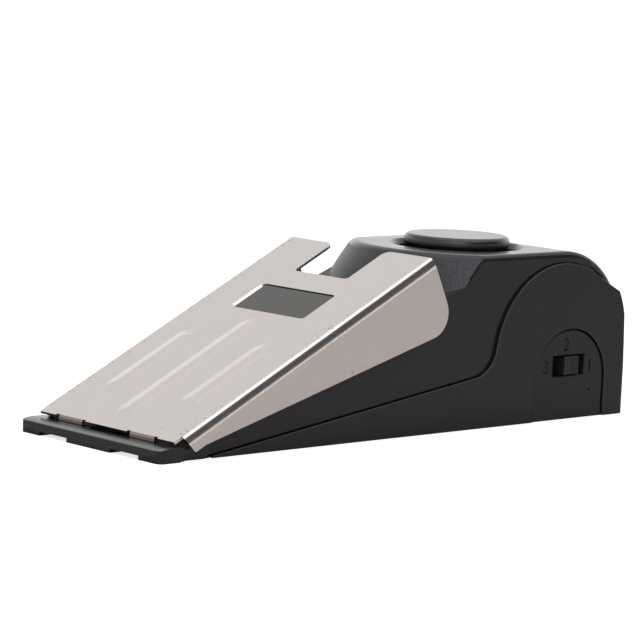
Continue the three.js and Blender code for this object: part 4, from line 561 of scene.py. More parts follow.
def make_materials():
    plate, shell, siren = sizes("plate"), sizes("shell"), sizes("siren")
    moulded_group()
    rolled_group()
    # Name, colour, colour of the flecks, roughness, grain, wear and speckle; specular, coat, bump and depth
    for values, shader in (
        (("shell_plastic", shell.colour, (0.05, 0.055, 0.065), 0.22, 2400.0, 0.6), (0.34, 0.0, 0.07)),
        (("smoked_pane", (0.045, 0.043, 0.04), (0.1, 0.1, 0.1), 0.16, 1200.0, 0.4), (0.5, 0.0, 0.05)),
        # The skirt edge's colour is lighter than the shell's: a painted highlight along the parting line
        (("worn_edge", (0.08, 0.078, 0.082), (0.12, 0.12, 0.13), 0.25, 2400.0, 0.5), (0.5, 0.0, 0.05)),
        (("sparked_plastic", (0.024, 0.026, 0.031), (0.15, 0.16, 0.19), 0.4, 3400.0, 0.6, 0.6),
         (0.34, 0.0, 0.3, 0.00004)),
        (("cap_plastic", siren.colour, (0.12, 0.11, 0.11), 0.24, 2400.0, 0.8), (0.5, 0.0, 0.15)),
        (("knob_plastic", (0.02, 0.019, 0.0195), (0.1, 0.1, 0.1), 0.34, 3200.0, 0.5), (0.35, 0.0, 0.2)),
        (("panel_plastic", (0.022, 0.021, 0.022), (0.09, 0.09, 0.1), 0.36, 3000.0, 0.5), (0.26, 0.0, 0.25)),
        (("pad_rubber", (0.013, 0.013, 0.014), (0.1, 0.1, 0.1), 0.78, 1500.0, 0.9), (0.3, 0.0, 0.6, 0.00005)),
        (("ivory_plastic", (0.72, 0.71, 0.68), (0.5, 0.48, 0.44), 0.45, 2200.0, 0.5), (0.5, 0.0, 0.2)),
        (("component_plastic", (0.02, 0.02, 0.022), (0.1, 0.1, 0.1), 0.5, 3000.0, 0.6), (0.5, 0.0, 0.3)),
        (("fibreglass_board", (0.02, 0.13, 0.06), (0.05, 0.2, 0.1), 0.38, 900.0, 0.8), (0.5, 0.3, 0.25)),
        (("piezo_crystal", (0.55, 0.52, 0.45), (0.4, 0.37, 0.3), 0.55, 2600.0, 0.8), (0.5, 0.0, 0.3)),
        (("battery_wrap", (0.035, 0.036, 0.04), (0.2, 0.2, 0.22), 0.3, 1200.0, 0.5), (0.5, 0.4, 0.1)),
        (("capacitor_sleeve", (0.02, 0.03, 0.09), (0.1, 0.1, 0.2), 0.3, 2000.0, 0.5), (0.5, 0.3, 0.1)),
        (("red_insulation", (0.42, 0.02, 0.015), (0.5, 0.1, 0.08), 0.38, 2600.0, 0.5), (0.5, 0.0, 0.15)),
        (("black_insulation", (0.02, 0.02, 0.02), (0.1, 0.1, 0.1), 0.38, 2600.0, 0.5), (0.5, 0.0, 0.15)),
    ):
        moulded(*values, **dict(zip(("specular", "coat", "bump", "depth"), shader)))
    # Name, colour, tarnish, roughness, streaks, spots and spots along a fold; coat and bump
    for values, coat, bump in (
        (("rolled_sheet", plate.colour, (0.15, 0.08, 0.04), 0.21, 0.12, 0.5, 1.0), 0.0, 0.05),
        # A darker brown colour for the forward-facing faces at the sheet's front edge and the hinge tabs
        (("stained_sheet", (0.24, 0.205, 0.195), (0.1, 0.05, 0.03), 0.3, 0.1, 0.6), 0.0, 0.05),
        (("screw_steel", (0.5, 0.49, 0.47), (0.2, 0.15, 0.1), 0.3, 0.1, 0.3), 0.0, 0.1),
        (("spring_steel", (0.52, 0.51, 0.5), (0.2, 0.15, 0.1), 0.27, 0.12, 0.3), 0.0, 0.1),
        (("rolled_brass", (0.7, 0.5, 0.2), (0.3, 0.2, 0.1), 0.27, 0.12, 0.4), 0.0, 0.1),
        (("copper_winding", (0.72, 0.3, 0.14), (0.3, 0.12, 0.06), 0.3, 0.12, 0.3), 0.3, 0.4),
    ):
        rolled(*values, coat=coat, bump=bump)


def finish(name):
    return bpy.data.materials[name]


def paint(piece, name, test):
    """Gives a second material to the faces that pass a test of their middle, in millimetres, and normal."""
    piece.data.materials.append(finish(name))
    for face in piece.data.polygons:
        if test(face.center / MM + Vector((HALF_LENGTH, 0, 0)), face.normal):
            face.material_index = 1


# Press plate

# Places on the sheet are (along it from its front edge, across it, square to it), in millimetres
PLATE_FRONT = (4.6, 4.2)
GRID = (161, 90)
# Start and end along the sheet, and place across it
BEADS = ((5.6, 45.2, 0.0), (13.2, 37.4, -12.67), (13.2, 37.4, 12.67))
BEAD_RAMP, BEAD_ROW = 1.6, 0.26
DIMPLE_INSET, DIMPLE_RADIUS, DIMPLE_DEPTH, DIMPLE_SPREAD = 0.3, 0.45, 0.16, 1.0
# The sides fold in two turns, a tight one and a wide one, in degrees
FIRST_TURN, LAST_TURN, TURN_STEPS = 60, 30, 6
SIDE_REACH = 18
TAB_RELIEF, TAB_EDGE = (7.1, 16.75), (7.5, 16.4)
TAB_FOOT_Z, TAB_FOOT_RADIUS, TAB_FOOT_LENGTH = 1.05, 0.8, 0.9
WINDOW, WINDOW_CORNER = (49.8, 60.5, -11.7, 11.7), 0.8
LIP_START, LIP_END, LIP_Y = 50.4, 59.9, 11.7
NOTCH_CORNER, NOTCH_CORNER_AT = 1.0, (68.3, 7.6)
EAR_CORNER, EAR_CORNER_Y = 2.0, 10.6
SIDE_TAPER_START, SIDE_FRONT_DEPTH, SIDE_REAR_DEPTH, SIDE_CORNER = 6.5, 4.25, 17.9, 5.5
SIDE_REAR_EDGE_DEPTH, SIDE_FRONT_EDGE = 11.3, 2.2
# The step behind a hinge tab: its upper edge, and its lower corner as place, radius and turn in degrees
SIDE_STEP_EDGE, SIDE_STEP_ARC = ((1.9, -0.62), (2.206, -0.62)), (3.75, -3.65, 0.6, 197, 270)
# How far the cutters reach past the sheet: above it, beside it, and down past its sides
PAST, PAST_END, PAST_SIDES = 3, 5, 25
# The pane's body, and the four steps that leave its middle raised, as (x, y) to (x, y)
PANE = (48.8, -12.7, -1.9), (61.5, 12.7, -0.25)
PANE_STEPS = ((48, -14, 50.0, 14), (60.3, -14, 62, 14), (48, -14, 62, -11.5), (48, 11.5, 62, 14))
PANE_STEP_Z = -0.9
PANE_CORNER, PANE_EDGE = 0.6, 0.12


def tilt_plate(piece, slope):
    """Takes a mesh drawn in the flat plate's frame to the plate's place at rest."""
    place = Matrix.Translation(metres(PLATE_FRONT[0], 0, PLATE_FRONT[1]))
    place = place @ Matrix.Rotation(-math.radians(slope), 4, "Y")
    piece.data.transform(place @ Matrix.Translation((HALF_LENGTH * MM, 0, 0)))
    piece.data.update()


def fold_edge(piece, test, centre, axis, degrees, steps):
    """Spins the picked border edges round an axis, which folds a lip from the sheet."""
    edit(piece, "EDGE")
    pick(piece, "edges", test)
    bpy.ops.mesh.spin(steps=steps, angle=math.radians(degrees), center=centre, axis=axis)


def push(vector):
    bpy.ops.mesh.extrude_region_move(TRANSFORM_OT_translate={"value": vector})


def number_by_place(piece):
    """Orders a mesh by place. Folds and cuts order it anew on each run, and later steps follow that."""
    mesh = piece.data
    points = [tuple(vertex.co) for vertex in mesh.vertices]
    order = sorted(range(len(points)), key=points.__getitem__)
    number = {old: new for new, old in enumerate(order)}
    faces = []
    for face in mesh.polygons:
        corners = [number[corner] for corner in face.vertices]
        first = corners.index(min(corners))
        faces.append(corners[first:] + corners[:first])
    mesh.clear_geometry()
    mesh.from_pydata([points[old] for old in order], [], sorted(faces))
    mesh.update()


class DOORSTOP_OT_press_plate(bpy.types.Operator):
    """Models the folded steel plate with its beads, window, notch and hinge tabs"""
    bl_idname = "door_stop.press_plate"
    bl_label = "Press plate"

    def execute(self, context):
        p = sizes("plate")
        flat = (
            p.half_width - p.lower_fold * (1 - math.cos(math.radians(LAST_TURN)))
            - p.fold * math.sin(math.radians(FIRST_TURN))
        )
        deselect()
        bpy.ops.mesh.primitive_grid_add(x_subdivisions=GRID[0], y_subdivisions=GRID[1], size=2)
        plate = named("press_plate_sheet")
        plate.scale = (p.length / 2 * MM, flat * MM, 1)
        plate.location = metres(p.length / 2, 0, 0)
        apply_place(plate)
        self.press_beads(plate, p)
        self.fold_tabs(plate, p)
        self.fold_sides(plate, p, flat)
        close_seams(plate)
        number_by_place(plate)
        apply_modifier(plate, "SOLIDIFY", thickness=p.sheet * MM, offset=-1.0, use_even_offset=True)
        cut_all(plate, self.cutters(p, flat))
        number_by_place(plate)
        edit_all(plate)
        bpy.ops.mesh.dissolve_limited(angle_limit=math.radians(0.3))
        leave_edit()
        apply_modifier(
            plate, "BEVEL", width=p.edge * MM, segments=2, limit_method="ANGLE",
            angle_limit=math.radians(55), use_clamp_overlap=True,
        )
        tilt_plate(plate, p.slope)
        weighted(plate)
        dress(plate, "plate", ["press_plate"], finish("rolled_sheet"))
        # The forward-facing faces at the front edge and at the tabs take the darker brown colour
        paint(plate, "stained_sheet", lambda at, normal: (
            at.x < PLATE_FRONT[0] + 0.6 and abs(at.y) < 22 and normal.x < -0.6))
        pane = box_piece("smoked_window_pane", *PANE)
        cut_all(pane, [
            box_piece(f"pane_step_{index}", (low_x, low_y, PANE_STEP_Z), (high_x, high_y, 1))
            for index, (low_x, low_y, high_x, high_y) in enumerate(PANE_STEPS)
        ])
        bevel_edges(pane, upright_edge, PANE_CORNER, 4)
        bevel_edges(pane, lambda e: steep(e, 50) and e.is_convex and spot(e)[2] > -0.3, PANE_EDGE, 2)
        tilt_plate(pane, p.slope)
        weighted(pane)
        dress(pane, "plate", ["window_pane"], finish("smoked_pane"))
        return {"FINISHED"}

    def press_beads(self, plate, p):
        """Raises the three beads and sinks the dimples at their ends."""
        for start, end, y in BEADS:
            low, high = metres(start + BEAD_RAMP, 0, 0).x, metres(end - BEAD_RAMP, 0, 0).x
            self.press(
                plate, lambda v: abs(spot(v)[1] - y) < BEAD_ROW and low < v.co.x < high,
                p.bead_height, p.bead_spread)
            for x in (start + DIMPLE_INSET, end - DIMPLE_INSET):
                self.press(
                    plate, lambda v: math.hypot(spot(v)[0] - x, spot(v)[1] - y) < DIMPLE_RADIUS,
                    -DIMPLE_DEPTH, DIMPLE_SPREAD)

    @staticmethod
    def press(plate, test, height, spread):
        """Raises or sinks the picked vertices and draws the sheet round them along."""
        edit(plate)
        pick(plate, "verts", test)
        bpy.ops.transform.translate(
            value=(0, 0, height * MM), use_proportional_edit=True,
            proportional_edit_falloff="SMOOTH", proportional_size=spread * MM,
        )
        leave_edit()

    def fold_tabs(self, plate, p):
        """Folds the two hinge tabs down from the front edge and turns their feet under the toe."""
        slope = math.radians(p.slope)
        down = Vector((-math.sin(slope), 0, -math.cos(slope)))
        ahead = Vector((-down.z, 0, down.x))
        start = p.length / GRID[0]
        edit(plate, "FACE")
        pick(plate, "faces", lambda f: (
            spot(f)[0] < start and TAB_RELIEF[0] < abs(spot(f)[1]) < TAB_RELIEF[1]))
        bpy.ops.mesh.delete(type="FACE")
        leave_edit()
        fold_edge(
            plate,
            lambda e: len(e.link_faces) == 1 and all(
                abs(spot(v)[0] - start) < 0.05 and TAB_EDGE[0] < abs(spot(v)[1]) < TAB_EDGE[1]
                for v in e.verts),
            metres(start, 0, -p.tab_fold), (0, 1, 0), 90 - p.slope, TURN_STEPS,
        )
        turn_end = Vector(((start - HALF_LENGTH) * MM, 0, -p.tab_fold * MM))
        drop = PLATE_FRONT[1] + start * math.sin(slope) - p.tab_fold * math.cos(slope) - TAB_FOOT_Z
        push(down * drop * MM)
        foot = turn_end + (down * drop - ahead * p.tab_fold) * MM
        bpy.ops.mesh.spin(
            steps=4, angle=math.radians(90), center=foot + ahead * TAB_FOOT_RADIUS * MM, axis=(0, 1, 0))
        push(ahead * TAB_FOOT_LENGTH * MM)
        leave_edit()

    def fold_sides(self, plate, p, flat):
        """Folds both sides down in two turns, and pulls them longer than they stay."""
        reach = p.lower_fold - p.fold
        for side in (-1, 1):
            fold_edge(
                plate, lambda e: all(abs(v.co.y - side * flat * MM) < 1e-6 for v in e.verts),
                metres(0, side * flat, -p.fold), (1, 0, 0), FIRST_TURN * side, TURN_STEPS,
            )
            lower = metres(
                0, side * (flat - reach * math.sin(math.radians(FIRST_TURN))),
                -p.fold - reach * math.cos(math.radians(FIRST_TURN)),
            )
            bpy.ops.mesh.spin(
                steps=TURN_STEPS, angle=math.radians(LAST_TURN) * side, center=lower, axis=(1, 0, 0))
            push((0, 0, -SIDE_REACH * MM))
            leave_edit()

    def cutters(self, p, flat):
        """The window, the notch, the outline of the sides, their front ends and the window's slope."""
        wide = p.half_width + PAST
        ear = p.length - EAR_CORNER
        corner_x, corner_y = NOTCH_CORNER_AT
        window = outline_prism("window_cutter", rounded_rectangle(*WINDOW, WINDOW_CORNER), "Z", -PAST, PAST)
        notch = outline_prism("notch_cutter", [
            (p.length + PAST, -EAR_CORNER_Y), (p.length + PAST, EAR_CORNER_Y),
            *arc_points(ear, EAR_CORNER_Y, EAR_CORNER, 0, -90, 8),
            *arc_points(corner_x, corner_y, NOTCH_CORNER, 90, 180, 5),
            *arc_points(corner_x, -corner_y, NOTCH_CORNER, 180, 270, 5),
            *arc_points(ear, -EAR_CORNER_Y, EAR_CORNER, 90, 0, 8),
        ], "Z", -PAST, PAST)
        # From the front: behind the tabs, along the lower edge, round the rear corner and past the rear edge
        fall = math.degrees(math.atan2(SIDE_REAR_DEPTH - SIDE_FRONT_DEPTH, p.length - SIDE_TAPER_START))
        below = outline_prism("flange_cutter", [
            (SIDE_STEP_EDGE[0][0], -PAST_SIDES), *SIDE_STEP_EDGE, *arc_points(*SIDE_STEP_ARC, 4),
            (SIDE_TAPER_START, -SIDE_FRONT_DEPTH),
            *arc_points(
                p.length - SIDE_CORNER,
                -SIDE_REAR_DEPTH + SIDE_CORNER / math.tan(math.radians((90 - fall) / 2)), SIDE_CORNER,
                -90 - fall, 0, 12,
            ),
            (p.length + PAST_END, -SIDE_REAR_EDGE_DEPTH), (p.length + PAST_END, -PAST_SIDES),
        ], "Y", -wide, wide)
        fronts = []
        for index, side in enumerate((-1, 1)):
            low, high = sorted((side * flat, side * wide))
            outline = [(-PAST, low), (SIDE_FRONT_EDGE, low), (SIDE_FRONT_EDGE, high), (-PAST, high)]
            fronts.append(outline_prism(f"front_cutter_{index}", outline, "Z", -PAST_SIDES - 1, PAST))
        half = p.window_lip / math.sqrt(2)
        lip = box_piece("lip_cutter", (LIP_START, LIP_Y - half, -half), (LIP_END, LIP_Y + half, half))
        centre = Matrix.Translation(metres(0, LIP_Y, 0))
        lip.data.transform(centre @ Matrix.Rotation(math.radians(45), 4, "X") @ centre.inverted())
        return [window, notch, below, *fronts, lip]


# Shells

SIREN_X, WELL_RADIUS = 108.35, 14.6
HUMP_X = 112.3
TOP_Z = 39.3
RAMP_START, RAMP_END = (12.6, 3.1), (90, 32.7)
# Limits of the edges and faces that are picked: half widths, and places along the object and above the floor
HUMP_FRONT_RADIUS, HUMP_SIDE_Y, HUMP_BACK_X = 26.5, 21.5, 114
FOOT_X, FOOT_Y = (60, 100), 21.0
FRONT_CORNER_X, FRONT_CORNER_Y = (80, 108), 21.7
FRONT_WALL_END_X, FRONT_WALL_Y, FRONT_WALL_RADIUS = 100, 21.6, 20
TOE_END_X, TOE_TOP_Z, TOE_SIDE_Y = 12.0, 2.5, 21.8
NOSE_X, NOSE_Y = 3.6, 18
# The last of these is the half width beyond which the skirt's edge faces get a painted highlight
SKIRT_START_X, SKIRT_Y, HIGHLIGHT_EDGE_Y = 11, 22.3, 22.1
FLOOR_EDGE_Y, REAR_WALL_X = 21.9, 143


def flat_distance(place, x):
    return math.hypot(place[0] - x, place[1])


def ramp_height(x):
    """The height of the upper shell's ramp at a place along the object."""
    (low_x, low_z), (high_x, high_z) = RAMP_START, RAMP_END
    return low_z + (x - low_x) * (high_z - low_z) / (high_x - low_x)


class DOORSTOP_OT_upper_shell(bpy.types.Operator):
    """Rounds the hump, the siren well, the foot of the hump and the toe of the upper shell"""
    bl_idname = "door_stop.upper_shell"
    bl_label = "Upper shell"

    def execute(self, context):
        s = sizes("shell")
        shell = copy_of("upper_housing", "upper_shell")
        edit(shell, "FACE")
        pick(shell, "faces", lambda f: f.normal.z > 0.999 and spot(f)[2] > TOP_Z - 0.05)
        bpy.ops.mesh.quads_convert_to_tris(quad_method="BEAUTY", ngon_method="BEAUTY")
        bpy.ops.mesh.beautify_fill(angle_limit=math.radians(1))
        leave_edit()
        bevel_edges(shell, self.on_well, s.well, 5)
        bevel_edges(shell, self.on_rim, s.rim, 6, clamp=False)
        bevel_edges(shell, self.on_foot, s.foot, 4)
        bevel_edges(shell, self.on_corner, s.corner, 3)
        bevel_edges(shell, self.on_toe, s.toe, 3)
        weighted(shell)
        dress(shell, "base", ["upper_housing"], finish("shell_plastic"))
        paint(shell, "sparked_plastic", lambda at, normal: (
            at.x < FRONT_WALL_END_X and abs(at.y) < FRONT_WALL_Y
            and ramp_height(at.x) + 0.3 < at.z < TOP_Z - 0.9 and 0.1 < normal.z < 0.75
            and flat_distance(at, HUMP_X) > FRONT_WALL_RADIUS))
        return {"FINISHED"}

    @staticmethod
    def on_well(edge):
        """The rim of the siren well."""
        at = spot(edge)
        return steep(edge) and at[2] > TOP_Z - 0.05 and abs(flat_distance(at, SIREN_X) - WELL_RADIUS) < 0.6

    @staticmethod
    def on_rim(edge):
        """The hump's top rim at its front, its sides and its back."""
        at = spot(edge)
        round_front = flat_distance(at, HUMP_X) > HUMP_FRONT_RADIUS and at[0] < HUMP_X
        side = abs(at[1]) > HUMP_SIDE_Y
        back = side and at[0] > HUMP_BACK_X and edge.is_convex and any(
            face.normal.z > 0.1 and abs(face.normal.y) < 0.1 for face in edge.link_faces)
        return steep(edge, 20) and (at[2] > TOP_Z - 0.05 and (round_front or side) or back)

    @staticmethod
    def on_foot(edge):
        """The hollow edge where the hump's front wall meets the ramp."""
        at = spot(edge)
        return (
            steep(edge, 20) and not edge.is_convex and FOOT_X[0] < at[0] < FOOT_X[1]
            and abs(at[2] - ramp_height(at[0])) < 0.25 and abs(at[1]) < FOOT_Y
        )

    @staticmethod
    def on_corner(edge):
        """The upright edges between the hump's front wall and its sides."""
        at = spot(edge)
        return (
            steep(edge, 20) and edge.is_convex and abs(abs(at[1]) - FRONT_CORNER_Y) < 0.06
            and ramp_height(at[0]) + 0.3 < at[2] < TOP_Z - 1.2
            and FRONT_CORNER_X[0] < at[0] < FRONT_CORNER_X[1]
        )

    @staticmethod
    def on_toe(edge):
        """The upper edges of the toe."""
        at = spot(edge)
        outer = abs(at[1]) > TOE_SIDE_Y or at[0] < 0.3 or (at[0] < NOSE_X and abs(at[1]) > NOSE_Y)
        return steep(edge) and edge.is_convex and at[0] < TOE_END_X and at[2] > TOE_TOP_Z and outer


class DOORSTOP_OT_lower_shell(bpy.types.Operator):
    """Rounds the skirt's curved edge and the lower edges of the lower shell"""
    bl_idname = "door_stop.lower_shell"
    bl_label = "Lower shell"

    def execute(self, context):
        s = sizes("shell")
        shell = copy_of("lower_housing", "lower_shell")
        bevel_edges(shell, self.on_skirt, s.parting, 3)
        bevel_edges(shell, self.on_bottom, s.toe, 3)
        weighted(shell)
        dress(shell, "base", ["lower_housing"], finish("shell_plastic"))
        # The skirt's bevelled edge faces get a lighter colour: a painted highlight where the parting line
        # would catch the light
        paint(shell, "worn_edge", lambda at, normal: (
            at.z > 1.0 and at.x > SKIRT_START_X and abs(at.y) > HIGHLIGHT_EDGE_Y and 0.2 < abs(normal.y) < 0.98))
        return {"FINISHED"}

    @staticmethod
    def on_skirt(edge):
        """The skirt's upper edge, which shows as the parting line."""
        at = spot(edge)
        return (
            steep(edge) and edge.is_convex and abs(at[1]) > SKIRT_Y and at[2] > 0.6 and at[0] > SKIRT_START_X
            and level_edge(edge, 0.0001)
        )

    @staticmethod
    def on_bottom(edge):
        """The outer edges at the floor."""
        at = spot(edge)
        outer = abs(at[1]) > FLOOR_EDGE_Y or at[0] < 0.4 or at[0] > REAR_WALL_X
        return steep(edge) and edge.is_convex and at[2] < 0.3 and outer


# Siren

CAP_Z, CAP_LOWER_ROUND, NECK_EDGE = (39.0, 41.7), 0.85, 0.12


class DOORSTOP_OT_siren(bpy.types.Operator):
    """Models the siren cap over its well and softens the slotted neck under it"""
    bl_idname = "door_stop.siren"
    bl_label = "Siren cap and neck"

    def execute(self, context):
        s = sizes("siren")
        cap = drum_piece("siren_cap_disc", SIREN_X, 0, s.cap_radius, *CAP_Z, 128)
        bevel_edges(cap, lambda e: steep(e) and spot(e)[2] > CAP_Z[1] - 0.1, s.cap_round, 8)
        bevel_edges(cap, lambda e: steep(e) and spot(e)[2] < CAP_Z[0] + 0.1, CAP_LOWER_ROUND, 5)
        weighted(cap)
        dress(cap, "base", ["siren_cap"], finish("cap_plastic"))
        neck = copy_of("siren_neck", "siren_neck_ring")
        bevel_edges(neck, lambda e: steep(e, 50) and e.is_convex, NECK_EDGE, 2)
        weighted(neck)
        dress(neck, "base", ["siren_neck"], finish("shell_plastic"))
        return {"FINISHED"}


# Switch panels

PANEL_Y = 22.15
# Each number with its place along the object and its height
MARKS = (("3", 117.15, 12.45), ("2", 123.95, 17.4), ("1", 132.3, 12.0))
POWER_MARKS = (("0", 117.2, 12.75), ("1", 132.3, 12.8))
PIN_MARK_X, PIN_MARK_Z, PIN_MARK_RADIUS = 132.6, 6.5, 0.35
# A font's size for a given height of its figures, and what thickens their strokes, in metres
FONT_SIZE_PER_HEIGHT, STROKE_OFFSET = 1.42, 0.00003


def number_cutter(text, x, z, side, height, depth):
    """A number as a solid, standing across a panel's face at y = side * PANEL_Y."""
    deselect()
    bpy.ops.object.text_add()
    letter = bpy.context.object
    letter.data.body = text
    letter.data.align_x = "CENTER"
    letter.data.align_y = "CENTER"
    letter.data.size = height * FONT_SIZE_PER_HEIGHT * MM
    letter.data.offset = STROKE_OFFSET
    letter.data.extrude = depth * MM
    letter.data.resolution_u = 4
    bpy.ops.object.convert(target="MESH")
    cutter = named(f"number_{text}_cutter")
    close_seams(cutter)
    cutter.rotation_euler = (math.radians(90), 0, 0 if side < 0 else math.radians(180))
    cutter.location = metres(x, side * PANEL_Y, z)
    return apply_place(cutter)


class DOORSTOP_OT_switches(bpy.types.Operator):
    """Models the two arched switch panels with engraved numbers, and their slide knobs"""
    bl_idname = "door_stop.switches"
    bl_label = "Switch panels and knobs"

    def execute(self, context):
        s = sizes("switch")
        for label, side, marks, body in (
            ("sensitivity", -1, MARKS, "sensitivity_slider"), ("power", 1, POWER_MARKS, "power_slider"),
        ):
            panel = copy_of(f"{label}_panel", f"{label}_arched_panel")
            bevel_edges(panel, lambda e: (
                steep(e, 30) and e.is_convex and abs(spot(e)[1]) > PANEL_Y - 0.03
                and level_edge(e, 0.00001)), s.panel_edge, 3)
            cutters = [number_cutter(text, x, z, side, s.mark_height, s.mark_depth) for text, x, z in marks]
            cutters.append(self.pin_mark(side * PANEL_Y, s.mark_depth))
            cut_all(panel, cutters)
            weighted(panel)
            dress(panel, "base", [f"{label}_panel"], finish("panel_plastic"))
            knob = copy_of(f"{label}_knob", f"{label}_slide_knob")
            bevel_edges(knob, lambda e: (
                steep(e, 40) and e.is_convex and abs(spot(e)[1]) > PANEL_Y + 0.05), s.knob_edge, 3)
            weighted(knob)
            dress(knob, body, [f"{label}_knob"], finish("knob_plastic"))
        return {"FINISHED"}

    @staticmethod
    def pin_mark(y, depth):
        """A small cylinder across a panel's face, for the round mark under its numbers."""
        deselect()
        bpy.ops.mesh.primitive_cylinder_add(
            vertices=24, radius=PIN_MARK_RADIUS * MM, depth=2 * depth * MM,
            location=metres(PIN_MARK_X, y, PIN_MARK_Z), rotation=(math.radians(90), 0, 0),
        )
        return apply_place(named("pin_mark_cutter"))


# Underside

# Each grip pad's lower and upper corner
PADS = (("front", (22, -12, 0), (54, 12, 1.2)), ("rear", (119.5, -16, 0), (131, 16, 1.2)))
PAD_CORNER, PAD_EDGE, PAD_MARGIN = 1.2, 0.12, 1.2
RIB_STEP, RIB_HALF_WIDTH, RIB_DEPTH = 1.6, 0.3, 0.45
DOOR_EDGE, SCREW_ROUND = 0.25, 0.5
CROSS_LENGTH, CROSS_WIDTH, CROSS_DEPTH = 1.3, 0.32, 0.8


class DOORSTOP_OT_underside(bpy.types.Operator):
    """Models the ribbed rubber pads, the battery door and the housing screws"""
    bl_idname = "door_stop.underside"
    bl_label = "Underside"

    def execute(self, context):
        for name, low, high in PADS:
            pad = box_piece(f"{name}_grip_pad", low, high)
            bevel_edges(pad, upright_edge, PAD_CORNER, 5)
            ribs = int((high[0] - low[0] - 2) / RIB_STEP)
            start = (low[0] + high[0]) / 2 - (ribs - 1) * RIB_STEP / 2
            cut_all(pad, [
                box_piece(
                    f"rib_cutter_{index}",
                    (start + index * RIB_STEP - RIB_HALF_WIDTH, low[1] + PAD_MARGIN, -0.5),
                    (start + index * RIB_STEP + RIB_HALF_WIDTH, high[1] - PAD_MARGIN, RIB_DEPTH),
                )
                for index in range(ribs)
            ])
            apply_modifier(
                pad, "BEVEL", width=PAD_EDGE * MM, segments=2, limit_method="ANGLE",
                angle_limit=math.radians(50),
            )
            weighted(pad)
            dress(pad, "base", [f"{name}_rubber_pad"], finish("pad_rubber"))
        door = copy_of("battery_door", "battery_cover")
        bevel_edges(door, lambda e: steep(e, 50) and e.is_convex and spot(e)[2] < 0.3, DOOR_EDGE, 3)
        weighted(door)
        dress(door, "door", ["battery_door"], finish("shell_plastic"))
        for index in range(1, 5):
            self.screw(index)
        return {"FINISHED"}

    def screw(self, index):
        """Rounds the head of a housing screw and cuts its cross recess."""
        node = f"housing_screw_{index}"
        low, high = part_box(node)
        x, y = (low[0] + high[0]) / 2 / MM + HALF_LENGTH, (low[1] + high[1]) / 2 / MM
        foot = low[2] / MM
        screw = copy_of(node, f"cross_head_screw_{index}")
        bevel_edges(
            screw, lambda e: steep(e, 40) and e.is_convex and spot(e)[2] < foot + 0.05, SCREW_ROUND, 5)
        arms = ((CROSS_LENGTH, CROSS_WIDTH), (CROSS_WIDTH, CROSS_LENGTH))
        cut_all(screw, [
            box_piece(
                f"cross_cutter_{index}_{arm}", (x - half_x, y - half_y, foot - 1),
                (x + half_x, y + half_y, foot + CROSS_DEPTH),
            )
            for arm, (half_x, half_y) in enumerate(arms)
        ])
        smooth(screw)
        dress(screw, "base", [node], finish("screw_steel"))


# Return spring

# Its place along the sheet, the depth of its seat and of the end that stays, and its own sizes
SPRING_S, SPRING_SEAT, SPRING_ANCHOR = 43, 8.8, 9.1
SPRING_RADIUS, SPRING_WIRE_RADIUS, SPRING_CURLS, SPRING_LENGTH, SPRING_STEPS = 3.1, 0.3, 5, 6.5, 160


class DOORSTOP_OT_return_spring(bpy.types.Operator):
    """Winds the return spring under the plate"""
    bl_idname = "door_stop.return_spring"
    bl_label = "Return spring"

    def execute(self, context):
        p = sizes("plate")
        deselect()
        bpy.ops.mesh.primitive_circle_add(
            vertices=12, radius=SPRING_WIRE_RADIUS * MM, location=(SPRING_RADIUS * MM, 0, 0),
            rotation=(math.radians(90), 0, 0),
        )
        spring = named("wound_spring")
        apply_place(spring)
        apply_modifier(
            spring, "SCREW", axis="Z", angle=math.radians(360 * SPRING_CURLS),
            screw_offset=SPRING_LENGTH * MM, steps=SPRING_STEPS, render_steps=SPRING_STEPS,
            use_smooth_shade=True, use_merge_vertices=False,
        )
        edit(spring, "EDGE")
        bpy.ops.mesh.select_non_manifold()
        bpy.ops.mesh.edge_face_add()
        bpy.ops.mesh.select_all(action="SELECT")
        bpy.ops.mesh.normals_make_consistent(inside=False)
        leave_edit()
        smooth(spring, 40)
        spring.data.transform(Matrix.Translation(metres(SPRING_S, 0, -SPRING_SEAT)))
        tilt_plate(spring, p.slope)
        slope = math.radians(p.slope)
        anchor = Matrix.Rotation(-slope, 4, "Y") @ (
            metres(SPRING_S, 0, -SPRING_ANCHOR) + Vector((HALF_LENGTH * MM, 0, 0)))
        anchor += metres(PLATE_FRONT[0], 0, PLATE_FRONT[1])
        dress(spring, "base", ["return_spring"], finish("spring_steel"))
        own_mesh(spring)
        return {"FINISHED"}


# Parts inside

INSIDE = {
    "component_plastic": (
        "plate_plunger", "press_switch", "siren_chamber", "driver_chip", "drive_transistor",
        "sensitivity_switch", "power_switch", "battery_snap", "piezo_gasket",
    ),
    "ivory_plastic": ("vibration_sensor",),
    "fibreglass_board": ("press_switch_board", "main_board", "sensitivity_board", "power_board"),
    "rolled_brass": ("piezo_disc",),
    "piezo_crystal": ("piezo_ceramic",),
    "copper_winding": ("boost_coil",),
    "capacitor_sleeve": ("capacitor",),
    "battery_wrap": ("battery",),
    "screw_steel": (
        "battery_terminal_positive", "battery_terminal_negative", "switch_board_screw_1",
        "switch_board_screw_2", "board_screw_1", "board_screw_2", "board_screw_3", "board_screw_4",
    ),
    "red_insulation": ("battery_lead_red", "piezo_lead_red", "switch_lead_red"),
    "black_insulation": ("battery_lead_black", "piezo_lead_black", "switch_lead_black"),
}


class DOORSTOP_OT_parts_inside(bpy.types.Operator):
    """Finishes the circuit, the battery, the siren's inner parts and the wires"""
    bl_idname = "door_stop.parts_inside"
    bl_label = "Parts inside"

    def execute(self, context):
        for name, nodes in INSIDE.items():
            for node in nodes:
                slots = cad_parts[node].data.materials
                slots.clear()
                slots.append(finish(name))
        return {"FINISHED"}


# Stage

WHITE = (1, 1, 1, 1)
DARK_STUDIO = (0.045, 0.046, 0.052, 1)
# Axis, where the dark front of the studio begins, and where it is full
DARK_FRONT = (("Y", -0.1, -0.4), ("Z", 0.0, 0.12), ("Z", 0.8, 0.62), ("X", -0.5, -0.2))
